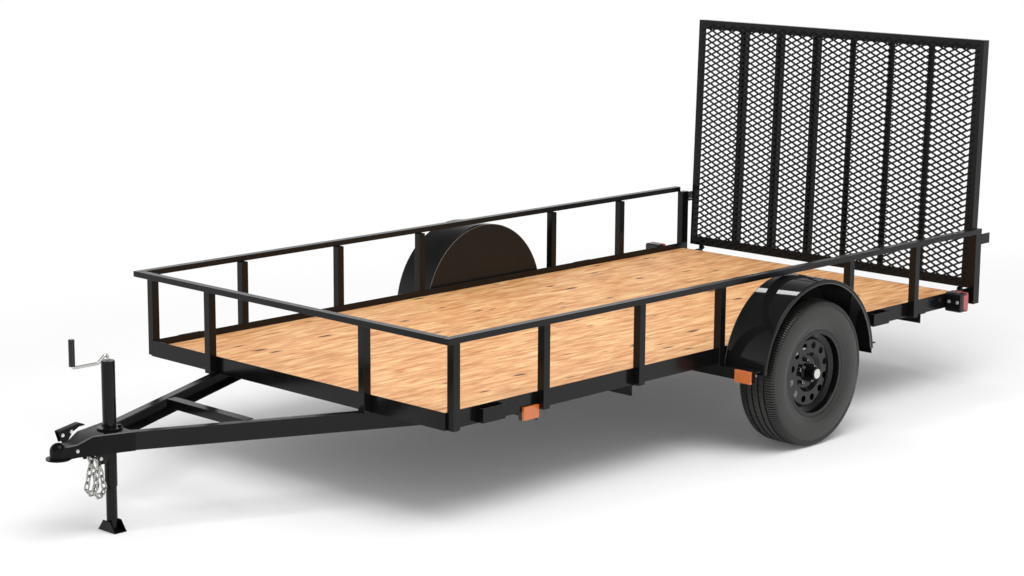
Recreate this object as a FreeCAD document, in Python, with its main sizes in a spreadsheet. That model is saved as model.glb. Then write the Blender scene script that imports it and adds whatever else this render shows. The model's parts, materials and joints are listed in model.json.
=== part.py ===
import FreeCAD, Part
import math
import os
import types

import Sketcher

# Utility trailer: a single-axle open trailer with a plank deck, a rail on posts, an A-frame tongue with
# a ball coupler and a screw jack, round fenders, leaf springs, and a mesh ramp gate at the rear.
# The frame has +X towards the hitch, +Y to the left, +Z up. The origin lies on the ground, under the middle
# of the whole trailer's box. All lengths are millimetres and all angles are degrees.

# Driving sizes, group by group. Each name becomes an alias in the sheet.
sizes = {
    # Bed frame and its place
    "bed_length": 3807.0,
    "bed_width": 1928.0,
    "frame_top": 495.0,
    "frame_depth": 75.0,
    "frame_leg": 50.0,
    "frame_wall": 5.0,
    "rear_lip_drop": 32.0,
    # Deck
    "plank_thick": 38.0,
    "plank_gap": 3.0,
    "deck_margin": 1.0,
    "plank_count": 12,
    # Cross members under the frame
    "cross_depth": 50.0,
    "cross_leg": 50.0,
    "cross_wall": 5.0,
    "cross_inset": 1.0,
    "outrigger_reach": 232.0,
    "outrigger_rear_leg": 36.0,
    "outrigger_ahead": 450.0,
    # Posts and top rail
    "post_size": 38.0,
    "rear_post_size": 52.0,
    "rear_post_drop": 6.0,
    "rear_post_ahead": 10.0,
    "rail_top": 815.0,
    "rail_height": 26.0,
    "rail_width": 40.0,
    "rail_overhang": 65.0,
    "rail_front_overhang": 44.0,
    "corner_post_setback": 12.0,
    "post_ahead_of_axle": 427.6,
    "post_behind_axle": 560.7,
    # Stake pockets
    "pocket_length": 132.0,
    "pocket_depth": 38.0,
    "pocket_height": 62.0,
    "pocket_wall": 5.0,
    "pocket_top_drop": 8.0,
    # Wheels and axle
    "axle_from_rear": 1635.0,
    "tyre_radius": 344.0,
    "tyre_width": 205.0,
    "wheel_from_bed": 149.0,
    "bead_radius": 190.5,
    "tyre_wall": 9.0,
    "tread_wall": 17.0,
    "tread_half_width": 94.0,
    "crown_half_width": 76.0,
    "shoulder_drop": 5.0,
    "tyre_flat_count": 48,
    "rim_lip_radius": 204.0,
    "rim_half_width": 80.0,
    "rim_wall": 4.0,
    "rim_well_radius": 166.0,
    "rim_well_half_width": 34.0,
    "rim_ramp_half_width": 50.0,
    "disc_out": 25.0,
    "disc_radius": 150.0,
    "disc_seat_radius": 80.0,
    "disc_hub_radius": 42.0,
    "disc_rise": 17.0,
    "vent_radius": 16.0,
    "vent_circle": 128.0,
    "vent_count": 12,
    "stud_count": 5,
    "stud_circle": 57.15,
    "stud_radius": 6.0,
    "nut_radius": 11.0,
    "nut_length": 20.0,
    "nut_side_count": 6,
    "hub_radius": 38.0,
    "hub_flange_radius": 72.0,
    "hub_flange": 10.0,
    "cap_radius": 29.0,
    "cap_reach": 67.0,
    "plug_radius": 23.0,
    "plug_length": 5.0,
    "spindle_radius": 17.5,
    "spindle_gap": 0.05,
    "spindle_length": 110.0,
    "axle_radius": 25.4,
    "axle_past_bed": 88.0,
    # Leaf springs
    "spring_width": 44.0,
    "spring_leaf": 7.0,
    "spring_half_span": 330.0,
    "spring_eye_drop": 34.0,
    "spring_eye_radius": 14.0,
    "spring_pin_radius": 7.0,
    "hanger_wall": 5.0,
    "hanger_gap": 0.3,
    "hanger_width": 52.0,
    "spring_inset": 26.0,
    # Fenders
    "fender_radius": 424.0,
    "fender_centre_height": 357.0,
    "fender_behind": 22.0,
    "fender_bottom": 399.0,
    "fender_from_bed": 14.0,
    "fender_width": 231.0,
    "fender_wall": 2.5,
    "fender_lip": 16.0,
    # Tongue
    "tongue_depth": 76.0,
    "tongue_flange": 40.0,
    "tongue_wall": 5.0,
    "tongue_angle": 25.0,
    "ball_ahead": 1191.0,
    "apex_behind_ball": 84.0,
    "rails_behind_ball": 261.0,
    "tongue_rear": 520.0,
    "brace_ahead": 458.0,
    "brace_leg": 50.0,
    "brace_depth": 38.0,
    "brace_clear": 5.0,
    # Coupler
    "coupler_wall": 4.0,
    "cover_gap": 1.4,
    "coupler_length": 298.0,
    "neck_behind_ball": 71.0,
    "coupler_nose_half": 34.0,
    "ball_radius": 25.4,
    "ball_clearance": 0.6,
    "socket_height": 378.0,
    "socket_outer": 34.0,
    "lip_radius": 50.0,
    "lip_thick": 6.0,
    "lip_level": 350.0,
    "neck_drop": 26.0,
    "neck_run": 60.0,
    "lever_width": 30.0,
    "lever_foot_ahead": 8.0,
    "lever_foot_rise": 33.1,
    "lever_nose_rise": 81.0,
    "lever_nose_ahead": 5.0,
    "lever_back": 95.0,
    "lever_back_rise": 100.0,
    "lever_tip": 120.0,
    "lever_tip_rise": 85.0,
    "lever_throat": 68.0,
    "lever_throat_rise": 52.0,
    # Jack
    "jack_behind_ball": 250.0,
    "jack_tube_radius": 28.0,
    "jack_tube_wall": 3.0,
    "jack_top": 706.0,
    "jack_sleeve_radius": 25.5,
    "jack_sleeve_bottom": 187.0,
    "jack_leg_radius": 22.5,
    "jack_leg_wall": 3.0,
    "jack_leg_gap": 0.4,
    "jack_leg_top": 520.0,
    "flange_radius": 52.0,
    "flange_thick": 8.0,
    "foot_length": 60.0,
    "foot_width": 112.0,
    "foot_plate": 5.0,
    "foot_height": 45.0,
    "crank_rod": 6.0,
    "crank_stem_rise": 36.0,
    "crank_top_run": 21.0,
    "crank_slant": 49.0,
    "crank_slant_angle": 146.6,
    "crank_arm": 124.0,
    "crank_handle": 118.0,
    "grip_radius": 13.0,
    "grip_rise": 7.0,
    "grip_length": 109.0,
    # Ramp gate
    "gate_hinge_back": 60.0,
    "gate_hinge_height": 470.0,
    "gate_lean": 1.87,
    "gate_foot_gap": 15.0,
    "gate_height": 1287.0,
    "gate_side_gap": 24.0,
    "gate_angle": 50.0,
    "gate_wall": 5.0,
    "gate_bar": 38.0,
    "gate_bar_wall": 4.0,
    "gate_bar_count": 6,
    "gate_bar_first": 624.0,
    "mesh_rise": 33.0,
    "mesh_run": 70.0,
    "mesh_strand": 6.0,
    "mesh_thick": 1.5,
    "mesh_margin": 8.0,
    "hinge_pin_radius": 8.0,
    "hinge_pin_gap": 0.05,
    "hinge_pin_half": 12.0,
    "hinge_lug": 8.0,
    "hinge_from_end": 70.0,
    "hinge_lug_radius": 13.5,
    "hinge_foot_gap": 4.0,
    # Lamps
    "marker_length": 92.0,
    "marker_height": 58.0,
    "marker_depth": 20.0,
    "lens_depth": 14.0,
    "tail_from_rear": 152.0,
    "tail_length": 50.0,
    "tail_lens_length": 18.0,
    "tail_height": 100.0,
    "tail_width": 98.0,
    "tail_drop": 15.0,
    "fender_marker_inset": 17.0,
    "marker_rise": 22.0,
    # Gate latches
    "latch_reach": 76.0,
    "latch_wall": 6.0,
    "latch_low": 724.0,
    "latch_tall": 54.0,
    "latch_bolt_radius": 8.0,
    "latch_clearance": 6.0,
    # Safety chains
    "chain_behind_ball": 173.0,
    "chain_lug_length": 70.0,
    "chain_lug_foot": 26.0,
    "chain_lug_half": 60.0,
    "chain_lug_wall": 6.0,
    "chain_lug_drop": 41.0,
    "chain_bolt_drop": 26.0,
    "chain_bolt_radius": 5.0,
    "chain_spread": 26.0,
    "chain_wire": 7.0,
    "chain_inner_length": 28.8,
    "chain_inner_width": 12.0,
    "chain_gap": 0.8,
    "chain_strand_gap": 17.0,
    "chain_head_radius": 10.0,
    "chain_head": 7.0,
    "chain_foot_tilt": 50.0,
    # Clearances
    "seat_gap": 0.3,
    "overrun": 2.0,
}

os.makedirs("parts", exist_ok=True)
doc = FreeCAD.newDocument("utility_trailer")
sheet = doc.addObject("Spreadsheet::Sheet", "sizes")


# A size of the sheet, or a sum or product of sizes: its formula for the sheet and its number for loops.
class Size:
    def __init__(self, text, number):
        self.text = text
        self.number = number

    def __add__(self, other):
        other = as_size(other)
        return Size(f"({self.text} + {other.text})", self.number + other.number)

    def __sub__(self, other):
        other = as_size(other)
        return Size(f"({self.text} - {other.text})", self.number - other.number)

    def __mul__(self, other):
        other = as_size(other)
        return Size(f"({self.text} * {other.text})", self.number * other.number)

    def __truediv__(self, other):
        other = as_size(other)
        return Size(f"({self.text} / {other.text})", self.number / other.number)

    def __neg__(self):
        return Size(f"(0 - {self.text})", -self.number)

    def __radd__(self, other):
        return as_size(other) + self

    def __rmul__(self, other):
        return as_size(other) * self

    def __float__(self):
        return float(self.number)


def as_size(value):
    return value if isinstance(value, Size) else Size(repr(value), value)


def sine(angle):
    return Size(f"sin({angle.text} * 1 deg)", math.sin(math.radians(angle.number)))


def cosine(angle):
    return Size(f"cos({angle.text} * 1 deg)", math.cos(math.radians(angle.number)))


def root(square):
    return Size(f"sqrt({square.text})", math.sqrt(square.number))


for row, (alias, number) in enumerate(sizes.items(), start=1):
    sheet.set(f"A{row}", alias)
    sheet.set(f"B{row}", str(number))
    sheet.setAlias(f"B{row}", alias)
doc.recompute()
mm = types.SimpleNamespace(**{alias: Size(f"sizes.{alias}", number) for alias, number in sizes.items()})

nodes = {}
ZERO = as_size(0)


def keep(node, item):
    item.Label = node
    nodes[node] = item
    return item


def bind(item, name, size):
    size = as_size(size)
    if size.text == "0":
        return
    item.setExpression(name, size.text)


def place(item, corner):
    for axis, size in zip("xyz", corner):
        bind(item, f".Placement.Base.{axis}", size)
    return item


def turn(item, axis, angle):
    item.Placement = FreeCAD.Placement(FreeCAD.Vector(), FreeCAD.Rotation(axis, math.degrees(1.0)))
    item.setExpression(".Placement.Rotation.Angle", f"{as_size(angle).text} * 1 deg")
    return item


def box(name, corner, spans):
    item = doc.addObject("Part::Box", name)
    for side, size in zip(("Length", "Width", "Height"), spans):
        bind(item, side, size)
    return place(item, corner)


AXES = {"X": FreeCAD.Vector(1, 0, 0), "Y": FreeCAD.Vector(0, 1, 0), "Z": FreeCAD.Vector(0, 0, 1)}
TURNS = {
    "X": FreeCAD.Rotation(AXES["Y"], 90),
    "Y": FreeCAD.Rotation(AXES["X"], -90),
    "Z": FreeCAD.Rotation(),
}


def cylinder(name, centre, radius, height, axis="Z"):
    item = doc.addObject("Part::Cylinder", name)
    item.Placement = FreeCAD.Placement(FreeCAD.Vector(), TURNS[axis])
    bind(item, "Radius", radius)
    bind(item, "Height", height)
    return place(item, centre)


def cut(name, base, tool):
    item = doc.addObject("Part::Cut", name)
    item.Base = base
    item.Tool = tool
    return item


def fuse(name, pieces):
    item = doc.addObject("Part::MultiFuse", name)
    item.Shapes = pieces
    return item


def group(name, pieces):
    item = doc.addObject("Part::Compound", name)
    item.Links = pieces
    return item


def mirror(name, source):
    item = doc.addObject("Part::Mirroring", name)
    item.Source = source
    item.Base = FreeCAD.Vector()
    item.Normal = AXES["Y"]
    return item


def shape_node(name, shape):
    item = doc.addObject("Part::Feature", name)
    item.Shape = shape
    return item


def outline_sketch(body, name, plane, points):
    sketch = body.newObject("Sketcher::SketchObject", name)
    base = [feature for feature in body.Origin.OriginFeatures if feature.Role == plane][0]
    sketch.AttachmentSupport = [(base, "")]
    sketch.MapMode = "FlatFace"
    points = [(as_size(across), as_size(up)) for across, up in points]
    corners = [FreeCAD.Vector(float(across), float(up), 0) for across, up in points]
    last = len(corners)
    for index, corner in enumerate(corners):
        sketch.addGeometry(Part.LineSegment(corner, corners[(index + 1) % last]), False)
    for index in range(last):
        sketch.addConstraint(Sketcher.Constraint("Coincident", index, 2, (index + 1) % last, 1))
    for index, point in enumerate(points):
        for kind, size in zip(("DistanceX", "DistanceY"), point):
            number = sketch.addConstraint(Sketcher.Constraint(kind, -1, 1, index, 1, float(size)))
            bind(sketch, f"Constraints[{number}]", size)
    return sketch


# A straight length of a section: the outline in its plane, padded equally to both sides of it.
def padded(name, plane, points, length):
    body = doc.addObject("PartDesign::Body", name)
    pad = body.newObject("PartDesign::Pad", name + "_pad")
    pad.Profile = outline_sketch(body, name + "_outline", plane, points)
    pad.SideType = "Symmetric"
    bind(pad, "Length", length)
    body.Tip = pad
    return body


# A turned piece about the Y axis: the outline is given as (along Y, radius).
def turned(name, points):
    body = doc.addObject("PartDesign::Body", name)
    sketch = outline_sketch(body, name + "_outline", "XY_Plane",
                            [(radius, along) for along, radius in points])
    spin = body.newObject("PartDesign::Revolution", name + "_turn")
    spin.Profile = sketch
    spin.ReferenceAxis = (sketch, ["V_Axis"])
    body.Tip = spin
    return body


# Places worked out from the sizes
half_width = mm.bed_width / 2
gate_top = mm.gate_foot_gap + mm.gate_height
gate_back = mm.gate_hinge_back + gate_top * sine(mm.gate_lean) + mm.gate_angle / 2 * cosine(mm.gate_lean)
hitch_reach = mm.ball_ahead + mm.lip_radius
overall = hitch_reach + mm.bed_length + gate_back
bed_front = overall / 2 - hitch_reach
bed_rear = bed_front - mm.bed_length
bed_middle = bed_front - mm.bed_length / 2
frame_bottom = mm.frame_top - mm.frame_depth
deck_bottom = frame_bottom + mm.frame_wall
axle_x = bed_rear + mm.axle_from_rear
wheel_y = half_width + mm.wheel_from_bed
axle_end = half_width + mm.axle_past_bed
outrigger_tip = half_width + mm.outrigger_reach
post_outer = half_width + mm.post_size
rail_outer = half_width + mm.rail_overhang
rail_bottom = mm.rail_top - mm.rail_height
ball_x = bed_front + mm.ball_ahead
gate_half = half_width - mm.gate_side_gap

# The fender's middle, and half of its length where it rests against the outriggers' shelves and at its foot
fender_x = axle_x - mm.fender_behind
shelf_fall = frame_bottom - mm.cross_wall - mm.fender_centre_height
fender_low = mm.fender_bottom - mm.fender_centre_height
fender_at_shelf = root(mm.fender_radius * mm.fender_radius - shelf_fall * shelf_fall)
fender_at_foot = root(mm.fender_radius * mm.fender_radius - fender_low * fender_low)

# Bed frame: two side angles, a front angle and a rear angle
side_left = padded("frame_side_left_form", "YZ_Plane", [
    (half_width, frame_bottom), (half_width, mm.frame_top), (half_width - mm.frame_wall, mm.frame_top),
    (half_width - mm.frame_wall, deck_bottom), (half_width - mm.frame_leg, deck_bottom),
    (half_width - mm.frame_leg, frame_bottom)], mm.bed_length)
place(side_left, (bed_middle, ZERO, ZERO))
keep("frame_side_left", side_left)
keep("frame_side_right", mirror("frame_side_right_form", side_left))
inner_width = mm.bed_width - mm.frame_wall * 2
clear_width = mm.bed_width - mm.frame_leg * 2
front_upright = box("frame_front_upright", (bed_front - mm.frame_wall, -half_width + mm.frame_wall,
                                            deck_bottom),
                    (mm.frame_wall, inner_width, mm.frame_depth - mm.frame_wall))
front_shelf = box("frame_front_shelf", (bed_front - mm.frame_leg, -half_width + mm.frame_leg, frame_bottom),
                  (mm.frame_leg, clear_width, mm.frame_wall))
keep("frame_front", fuse("frame_front_form", [front_upright, front_shelf]))
rear_height = mm.frame_depth - mm.frame_wall - mm.rear_lip_drop
rear_upright = box("frame_rear_upright", (bed_rear, -half_width + mm.frame_wall, deck_bottom),
                   (mm.frame_wall, inner_width, rear_height))
rear_shelf = box("frame_rear_shelf", (bed_rear, -half_width + mm.frame_leg, frame_bottom),
                 (mm.frame_leg, clear_width, mm.frame_wall))
keep("frame_rear", fuse("frame_rear_form", [rear_upright, rear_shelf]))

# Deck planks, laid lengthwise between the frame's upright legs
deck_width = inner_width - mm.deck_margin * 2
plank_pitch = (deck_width + mm.plank_gap) / mm.plank_count
planks = []
for index in range(int(mm.plank_count.number)):
    plank_y = plank_pitch * index - deck_width / 2
    planks.append(box(f"plank_{index}", (bed_rear + mm.frame_wall + mm.deck_margin, plank_y, deck_bottom), (
        mm.bed_length - (mm.frame_wall + mm.deck_margin) * 2, plank_pitch - mm.plank_gap, mm.plank_thick)))
keep("deck_planks", group("deck_planks_form", planks))

# Posts on the outside of the frame: some of them stand at a share of the way between two others
post_height = rail_bottom - frame_bottom
corner_x = bed_front - mm.corner_post_setback - mm.post_size
front_post_shares = (0.6878, 0.3283)
rear_post_share = 0.4795
end_post_share = 0.526
post_ahead = axle_x + mm.post_ahead_of_axle
post_behind = axle_x - mm.post_behind_axle
post_places = ([corner_x] + [post_ahead + (corner_x - post_ahead) * share for share in front_post_shares]
               + [post_ahead, post_behind, bed_rear + (post_behind - bed_rear) * rear_post_share])
left_posts = [box(f"post_{index}", (post_x, half_width, frame_bottom),
                  (mm.post_size, mm.post_size, post_height))
              for index, post_x in enumerate(post_places)]
left_posts.append(box("gate_post", (bed_rear + mm.rear_post_ahead - mm.rear_post_size, half_width,
                                    frame_bottom - mm.rear_post_drop),
                      (mm.rear_post_size, mm.post_size, rail_bottom - frame_bottom + mm.rear_post_drop)))
keep("posts_left", group("posts_left_form", left_posts))
keep("posts_right", mirror("posts_right_form", nodes["posts_left"]))
front_posts = [box(f"front_post_{index}", (bed_front, place_y - mm.post_size / 2, frame_bottom),
                   (mm.post_size, mm.post_size, post_height))
               for index, place_y in enumerate((half_width * end_post_share, -half_width * end_post_share))]
keep("posts_front", group("posts_front_form", front_posts))

# Cross members under the frame, and the two that reach out to carry the fenders
cross_shares = (0.6992, 0.1145)
marker_post_front = post_places[1] + mm.post_size
cross_places = [marker_post_front + mm.seat_gap]
cross_places += [bed_rear + mm.bed_length * share for share in cross_shares]
cross_bottom = frame_bottom - mm.cross_depth


def cross_member(name, front_x, half_length, leg):
    upright = box(name + "_upright", (front_x - mm.cross_wall, -half_length, cross_bottom),
                  (mm.cross_wall, half_length * 2, mm.cross_depth))
    shelf = box(name + "_shelf", (front_x - leg, -half_length, frame_bottom - mm.cross_wall),
                (leg, half_length * 2, mm.cross_wall))
    return fuse(name, [upright, shelf])


crosses = [cross_member(f"cross_member_{index}", front_x, half_width - mm.cross_inset, mm.cross_leg)
           for index, front_x in enumerate(cross_places)]
front_leg = mm.outrigger_ahead + mm.fender_behind - fender_at_shelf - mm.seat_gap
crosses += [cross_member("outrigger_front", axle_x + mm.outrigger_ahead, outrigger_tip, front_leg),
            cross_member("outrigger_rear", fender_x - fender_at_foot - mm.seat_gap, outrigger_tip,
                         mm.outrigger_rear_leg)]
keep("cross_members", group("cross_members_form", crosses))

# Top rail: two sides and the front
rail_front = bed_front + mm.rail_front_overhang
rail_left = box("rail_left_form", (bed_rear, rail_outer - mm.rail_width, rail_bottom),
                (mm.bed_length + mm.rail_front_overhang, mm.rail_width, mm.rail_height))
keep("rail_left", rail_left)
keep("rail_right", mirror("rail_right_form", rail_left))
keep("rail_front", box("rail_front_form", (rail_front - mm.rail_width, mm.rail_width - rail_outer,
                                           rail_bottom),
                       (mm.rail_width, (rail_outer - mm.rail_width) * 2, mm.rail_height)))

# Stake pockets, open at top and bottom, on the outside of the frame
pocket_shares = (0.504, 0.531)
marker_x = cross_places[0] + mm.seat_gap
marker_end = marker_x + mm.marker_length
post_rear_front = post_places[-1] + mm.post_size
pocket_places = [marker_end + (corner_x - marker_end) * pocket_shares[0],
                 post_rear_front + (post_behind - post_rear_front) * pocket_shares[1]]
pocket_bottom = mm.frame_top - mm.pocket_top_drop - mm.pocket_height


def stake_pocket(name, middle_x):
    outer = box(name + "_outer", (middle_x - mm.pocket_length / 2, half_width, pocket_bottom),
                (mm.pocket_length, mm.pocket_depth, mm.pocket_height))
    inner = box(name + "_inner", (middle_x - mm.pocket_length / 2 + mm.pocket_wall, half_width - mm.overrun,
                                  pocket_bottom - mm.overrun),
                (mm.pocket_length - mm.pocket_wall * 2, mm.pocket_depth - mm.pocket_wall + mm.overrun,
                 mm.pocket_height + mm.overrun * 2))
    return cut(name, outer, inner)


pockets = [stake_pocket(f"stake_pocket_{index}", middle_x) for index, middle_x in enumerate(pocket_places)]
pockets_left = group("stake_pockets_left", pockets)
pockets_right = mirror("stake_pockets_right", pockets_left)
keep("stake_pockets", group("stake_pockets_form", [pockets_left, pockets_right]))

# Fenders: a half drum of sheet with a rolled outer lip, closed on the deck side by a flat plate
fender_clear = mm.fender_radius * 2
fender_inner = half_width + mm.fender_from_bed
fender_outer = fender_inner + mm.fender_width


def half_disc(name, radius, from_y, width):
    disc = cylinder(name + "_disc", (fender_x, from_y, mm.fender_centre_height), radius, width, "Y")
    keep_box = box(name + "_above", (fender_x - fender_clear, from_y - mm.overrun, mm.fender_bottom),
                   (fender_clear * 2, width + mm.overrun * 2, fender_clear))
    item = doc.addObject("Part::Common", name)
    item.Base = disc
    item.Tool = keep_box
    return item


fender_skin = half_disc("fender_skin", mm.fender_radius, fender_inner, mm.fender_width)
fender_hollow = cylinder("fender_hollow", (fender_x, fender_inner + mm.fender_wall, mm.fender_centre_height),
                         mm.fender_radius - mm.fender_wall, mm.fender_width - mm.fender_wall * 2, "Y")
fender_mouth = cylinder("fender_mouth", (fender_x, fender_outer - mm.fender_wall - mm.overrun,
                                         mm.fender_centre_height),
                        mm.fender_radius - mm.fender_lip, mm.fender_wall + mm.overrun * 2, "Y")
fender = cut("fender_left_form", fender_skin, fuse("fender_inside", [fender_hollow, fender_mouth]))
keep("fender_left", fender)
keep("fender_right", mirror("fender_right_form", fender))

# Axle tube with its two spindles
axle_tube = cylinder("axle_tube", (axle_x, -axle_end, mm.tyre_radius), mm.axle_radius, axle_end * 2, "Y")
spindles = cylinder("spindles", (axle_x, -axle_end - mm.spindle_length, mm.tyre_radius), mm.spindle_radius,
                    (axle_end + mm.spindle_length) * 2, "Y")
keep("axle", fuse("axle_form", [axle_tube, spindles]))

# Leaf springs, slung under the axle, with an eye at each end
spring_y = half_width - mm.spring_inset
seat_z = mm.tyre_radius - mm.axle_radius
eye_z = frame_bottom - mm.spring_eye_drop
leaf_shares = (1.0, 0.72, 0.44)


def leaf_shape():
    top = float(seat_z)
    ends = float(eye_z) - float(mm.spring_eye_radius)
    half = float(mm.spring_half_span)
    leaf = float(mm.spring_leaf)
    middle = float(axle_x)

    def arc_edge(span, low):
        sag = (ends - top + leaf) * (span / half) ** 2
        start = FreeCAD.Vector(middle - span, 0, low + sag)
        end = FreeCAD.Vector(middle + span, 0, low + sag)
        return Part.Arc(start, FreeCAD.Vector(middle, 0, low), end).toShape()

    pieces = []
    for index, share in enumerate(leaf_shares):
        upper = arc_edge(half * share, top - leaf * index)
        lower = arc_edge(half * share, top - leaf * (index + 1))
        sides = [Part.makeLine(upper.Vertexes[end].Point, lower.Vertexes[end].Point) for end in (0, 1)]
        face = Part.Face(Part.Wire(Part.__sortEdges__([upper, lower] + sides)))
        pieces.append(face.extrude(FreeCAD.Vector(0, float(mm.spring_width), 0)))
    for side in (-1, 1):
        centre = FreeCAD.Vector(middle + side * half, 0, float(eye_z))
        eye = Part.makeCylinder(float(mm.spring_eye_radius), float(mm.spring_width), centre, AXES["Y"])
        bore = Part.makeCylinder(float(mm.spring_pin_radius), float(mm.spring_width), centre, AXES["Y"])
        pieces = [piece.cut(bore) for piece in pieces] + [eye.cut(bore)]
    return pieces[0].multiFuse(pieces[1:])


leaves = leaf_shape()
leaves.translate(FreeCAD.Vector(0, float(spring_y) - float(mm.spring_width) / 2, 0))
spring_left = shape_node("spring_left_form", leaves)
keep("spring_left", spring_left)
keep("spring_right", mirror("spring_right_form", spring_left))

# Spring hangers: two cheeks and a pin at each spring eye
hangers = []
for index, side in enumerate((-1, 1)):
    eye_x = axle_x + mm.spring_half_span * side
    cheek_height = mm.spring_eye_drop + mm.spring_eye_radius
    cheek_out = mm.spring_width / 2 + mm.hanger_gap
    for number, cheek_y in enumerate((spring_y + cheek_out, spring_y - cheek_out - mm.hanger_wall)):
        hangers.append(box(f"hanger_cheek_{index}_{number}", (
            eye_x - mm.hanger_width / 2, cheek_y, frame_bottom - cheek_height),
            (mm.hanger_width, mm.hanger_wall, cheek_height)))
    hangers.append(cylinder(f"hanger_pin_{index}", (eye_x, spring_y - cheek_out - mm.hanger_wall, eye_z),
                            mm.spring_pin_radius, (cheek_out + mm.hanger_wall) * 2, "Y"))
hangers_left = fuse("spring_hangers_left_form", hangers)
keep("spring_hangers", group("spring_hangers_form", [hangers_left, mirror("hangers_right", hangers_left)]))

# Tyre: a hollow carcass, turned in flats so that the wheels and chains keep to few faces
half_tyre = mm.tyre_width / 2

# The outline's shares of the tyre's radius and half width
bulge_share = 0.78
flank_shares = (0.985, 0.93)
toe_share = 1.6


# The closed outline of the carcass, as (along the axle, radius)
def tyre_outline():
    bulge = mm.tyre_radius * bulge_share
    seat = mm.rim_half_width - mm.seat_gap
    toe = mm.rim_half_width - mm.tyre_wall * toe_share
    outer = [(seat, mm.bead_radius), (seat, mm.rim_lip_radius + mm.seat_gap), (half_tyre, bulge),
             (half_tyre * flank_shares[0], mm.tyre_radius * flank_shares[1]),
             (mm.tread_half_width, mm.tyre_radius - mm.shoulder_drop), (mm.crown_half_width, mm.tyre_radius)]
    inner = [(mm.tread_half_width - mm.tyre_wall, mm.tyre_radius - mm.tread_wall),
             (half_tyre - mm.tyre_wall, bulge), (toe, mm.bead_radius)]
    mirrored = [(-along, radius) for along, radius in outer]
    return ([(-along, radius) for along, radius in inner] + mirrored + list(reversed(outer))
            + list(reversed(inner)))


# A closed outline turned about the Y axis in flats: one plane face for each side of each band. The flats lie
# at the outline's radius, one of them level at the ground, and their corners stand a little beyond it.
def turned_in_flats(outline, count):
    step = 2 * math.pi / count
    turns = [step * (index + 1 / 2) for index in range(count)]
    beyond = 1 / math.cos(step / 2)
    rings = [[FreeCAD.Vector(float(radius) * beyond * math.cos(turn), float(along),
                             float(radius) * beyond * math.sin(turn)) for turn in turns]
             for along, radius in outline]
    faces = []
    for ring, following in zip(rings, rings[1:] + rings[:1]):
        for index in range(count):
            past = (index + 1) % count
            corners = [ring[index], ring[past], following[past], following[index], ring[index]]
            faces.append(Part.Face(Part.makePolygon(corners)))
    solid = Part.Solid(Part.Shell(faces))
    return solid if solid.Volume > 0 else solid.reversed()


# Rim: rolled barrel with a drop centre, and a dished disc with round vents and stud holes
def rim_outline():
    wall = mm.rim_wall
    seat = mm.bead_radius - mm.seat_gap
    half = mm.rim_half_width
    well_half = mm.rim_well_half_width
    ramp = mm.rim_ramp_half_width
    well = mm.rim_well_radius
    return [(-half - wall, mm.rim_lip_radius), (-half, mm.rim_lip_radius), (-half, seat), (-ramp, seat),
            (-well_half, well), (well_half, well), (ramp, seat), (half, seat),
            (half, mm.rim_lip_radius), (half + wall, mm.rim_lip_radius), (half + wall, seat - wall),
            (ramp, seat - wall), (well_half, well - wall), (-well_half, well - wall),
            (-ramp, seat - wall), (-half - wall, seat - wall)]


# The disc bulges outward from its bolt face, then runs back to the barrel
def disc_outline():
    wall = mm.rim_wall
    rise = mm.disc_rise
    barrel = mm.rim_well_radius - wall
    seat = mm.disc_seat_radius
    return [(0, mm.disc_hub_radius), (0, seat), (rise, seat + rise), (rise, mm.disc_radius), (0, barrel),
            (wall, barrel + wall / 2), (rise + wall, mm.disc_radius + wall),
            (rise + wall, seat + rise - wall),
            (wall, seat - wall), (wall, mm.disc_hub_radius)]


# Places round the wheel's axis, the first one at a share of the spacing past the level
def around(circle, count, start_share):
    count = int(count.number)
    angles = [2 * math.pi * (index + start_share) / count for index in range(count)]
    return [(axle_x + circle * math.cos(angle),
             mm.tyre_radius + circle * math.sin(angle)) for angle in angles]


def ring_of_rods(name, spots, radius, from_y, depth):
    return [cylinder(f"{name}_{index}", (at_x, from_y, at_z), radius, depth, "Y")
            for index, (at_x, at_z) in enumerate(spots)]


hub_centre = (axle_x, wheel_y, mm.tyre_radius)
vent_start_share = 0.5
stud_start_share = 0.25
wheel_parts = {}
tyre = shape_node("tyre_left_form", turned_in_flats(tyre_outline(), int(mm.tyre_flat_count.number)))
place(tyre, hub_centre)
wheel_parts["tyre"] = tyre
barrel = turned("rim_barrel", rim_outline())
place(barrel, hub_centre)
disc = turned("rim_disc", disc_outline())
disc_y = wheel_y + mm.disc_out
disc_centre = (axle_x, disc_y, mm.tyre_radius)
place(disc, disc_centre)
vent_spots = around(mm.vent_circle, mm.vent_count, vent_start_share)
stud_spots = around(mm.stud_circle, mm.stud_count, stud_start_share)
vents = ring_of_rods("vent", vent_spots, mm.vent_radius, disc_y - mm.overrun, mm.disc_rise * 2)
stud_holes = ring_of_rods("stud_hole", stud_spots, mm.stud_radius + mm.seat_gap, disc_y - mm.overrun,
                          mm.rim_wall + mm.overrun * 2)
rim = cut("rim_left_form", fuse("rim_whole", [barrel, disc]), group("rim_holes", vents + stud_holes))
wheel_parts["rim"] = rim

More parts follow.
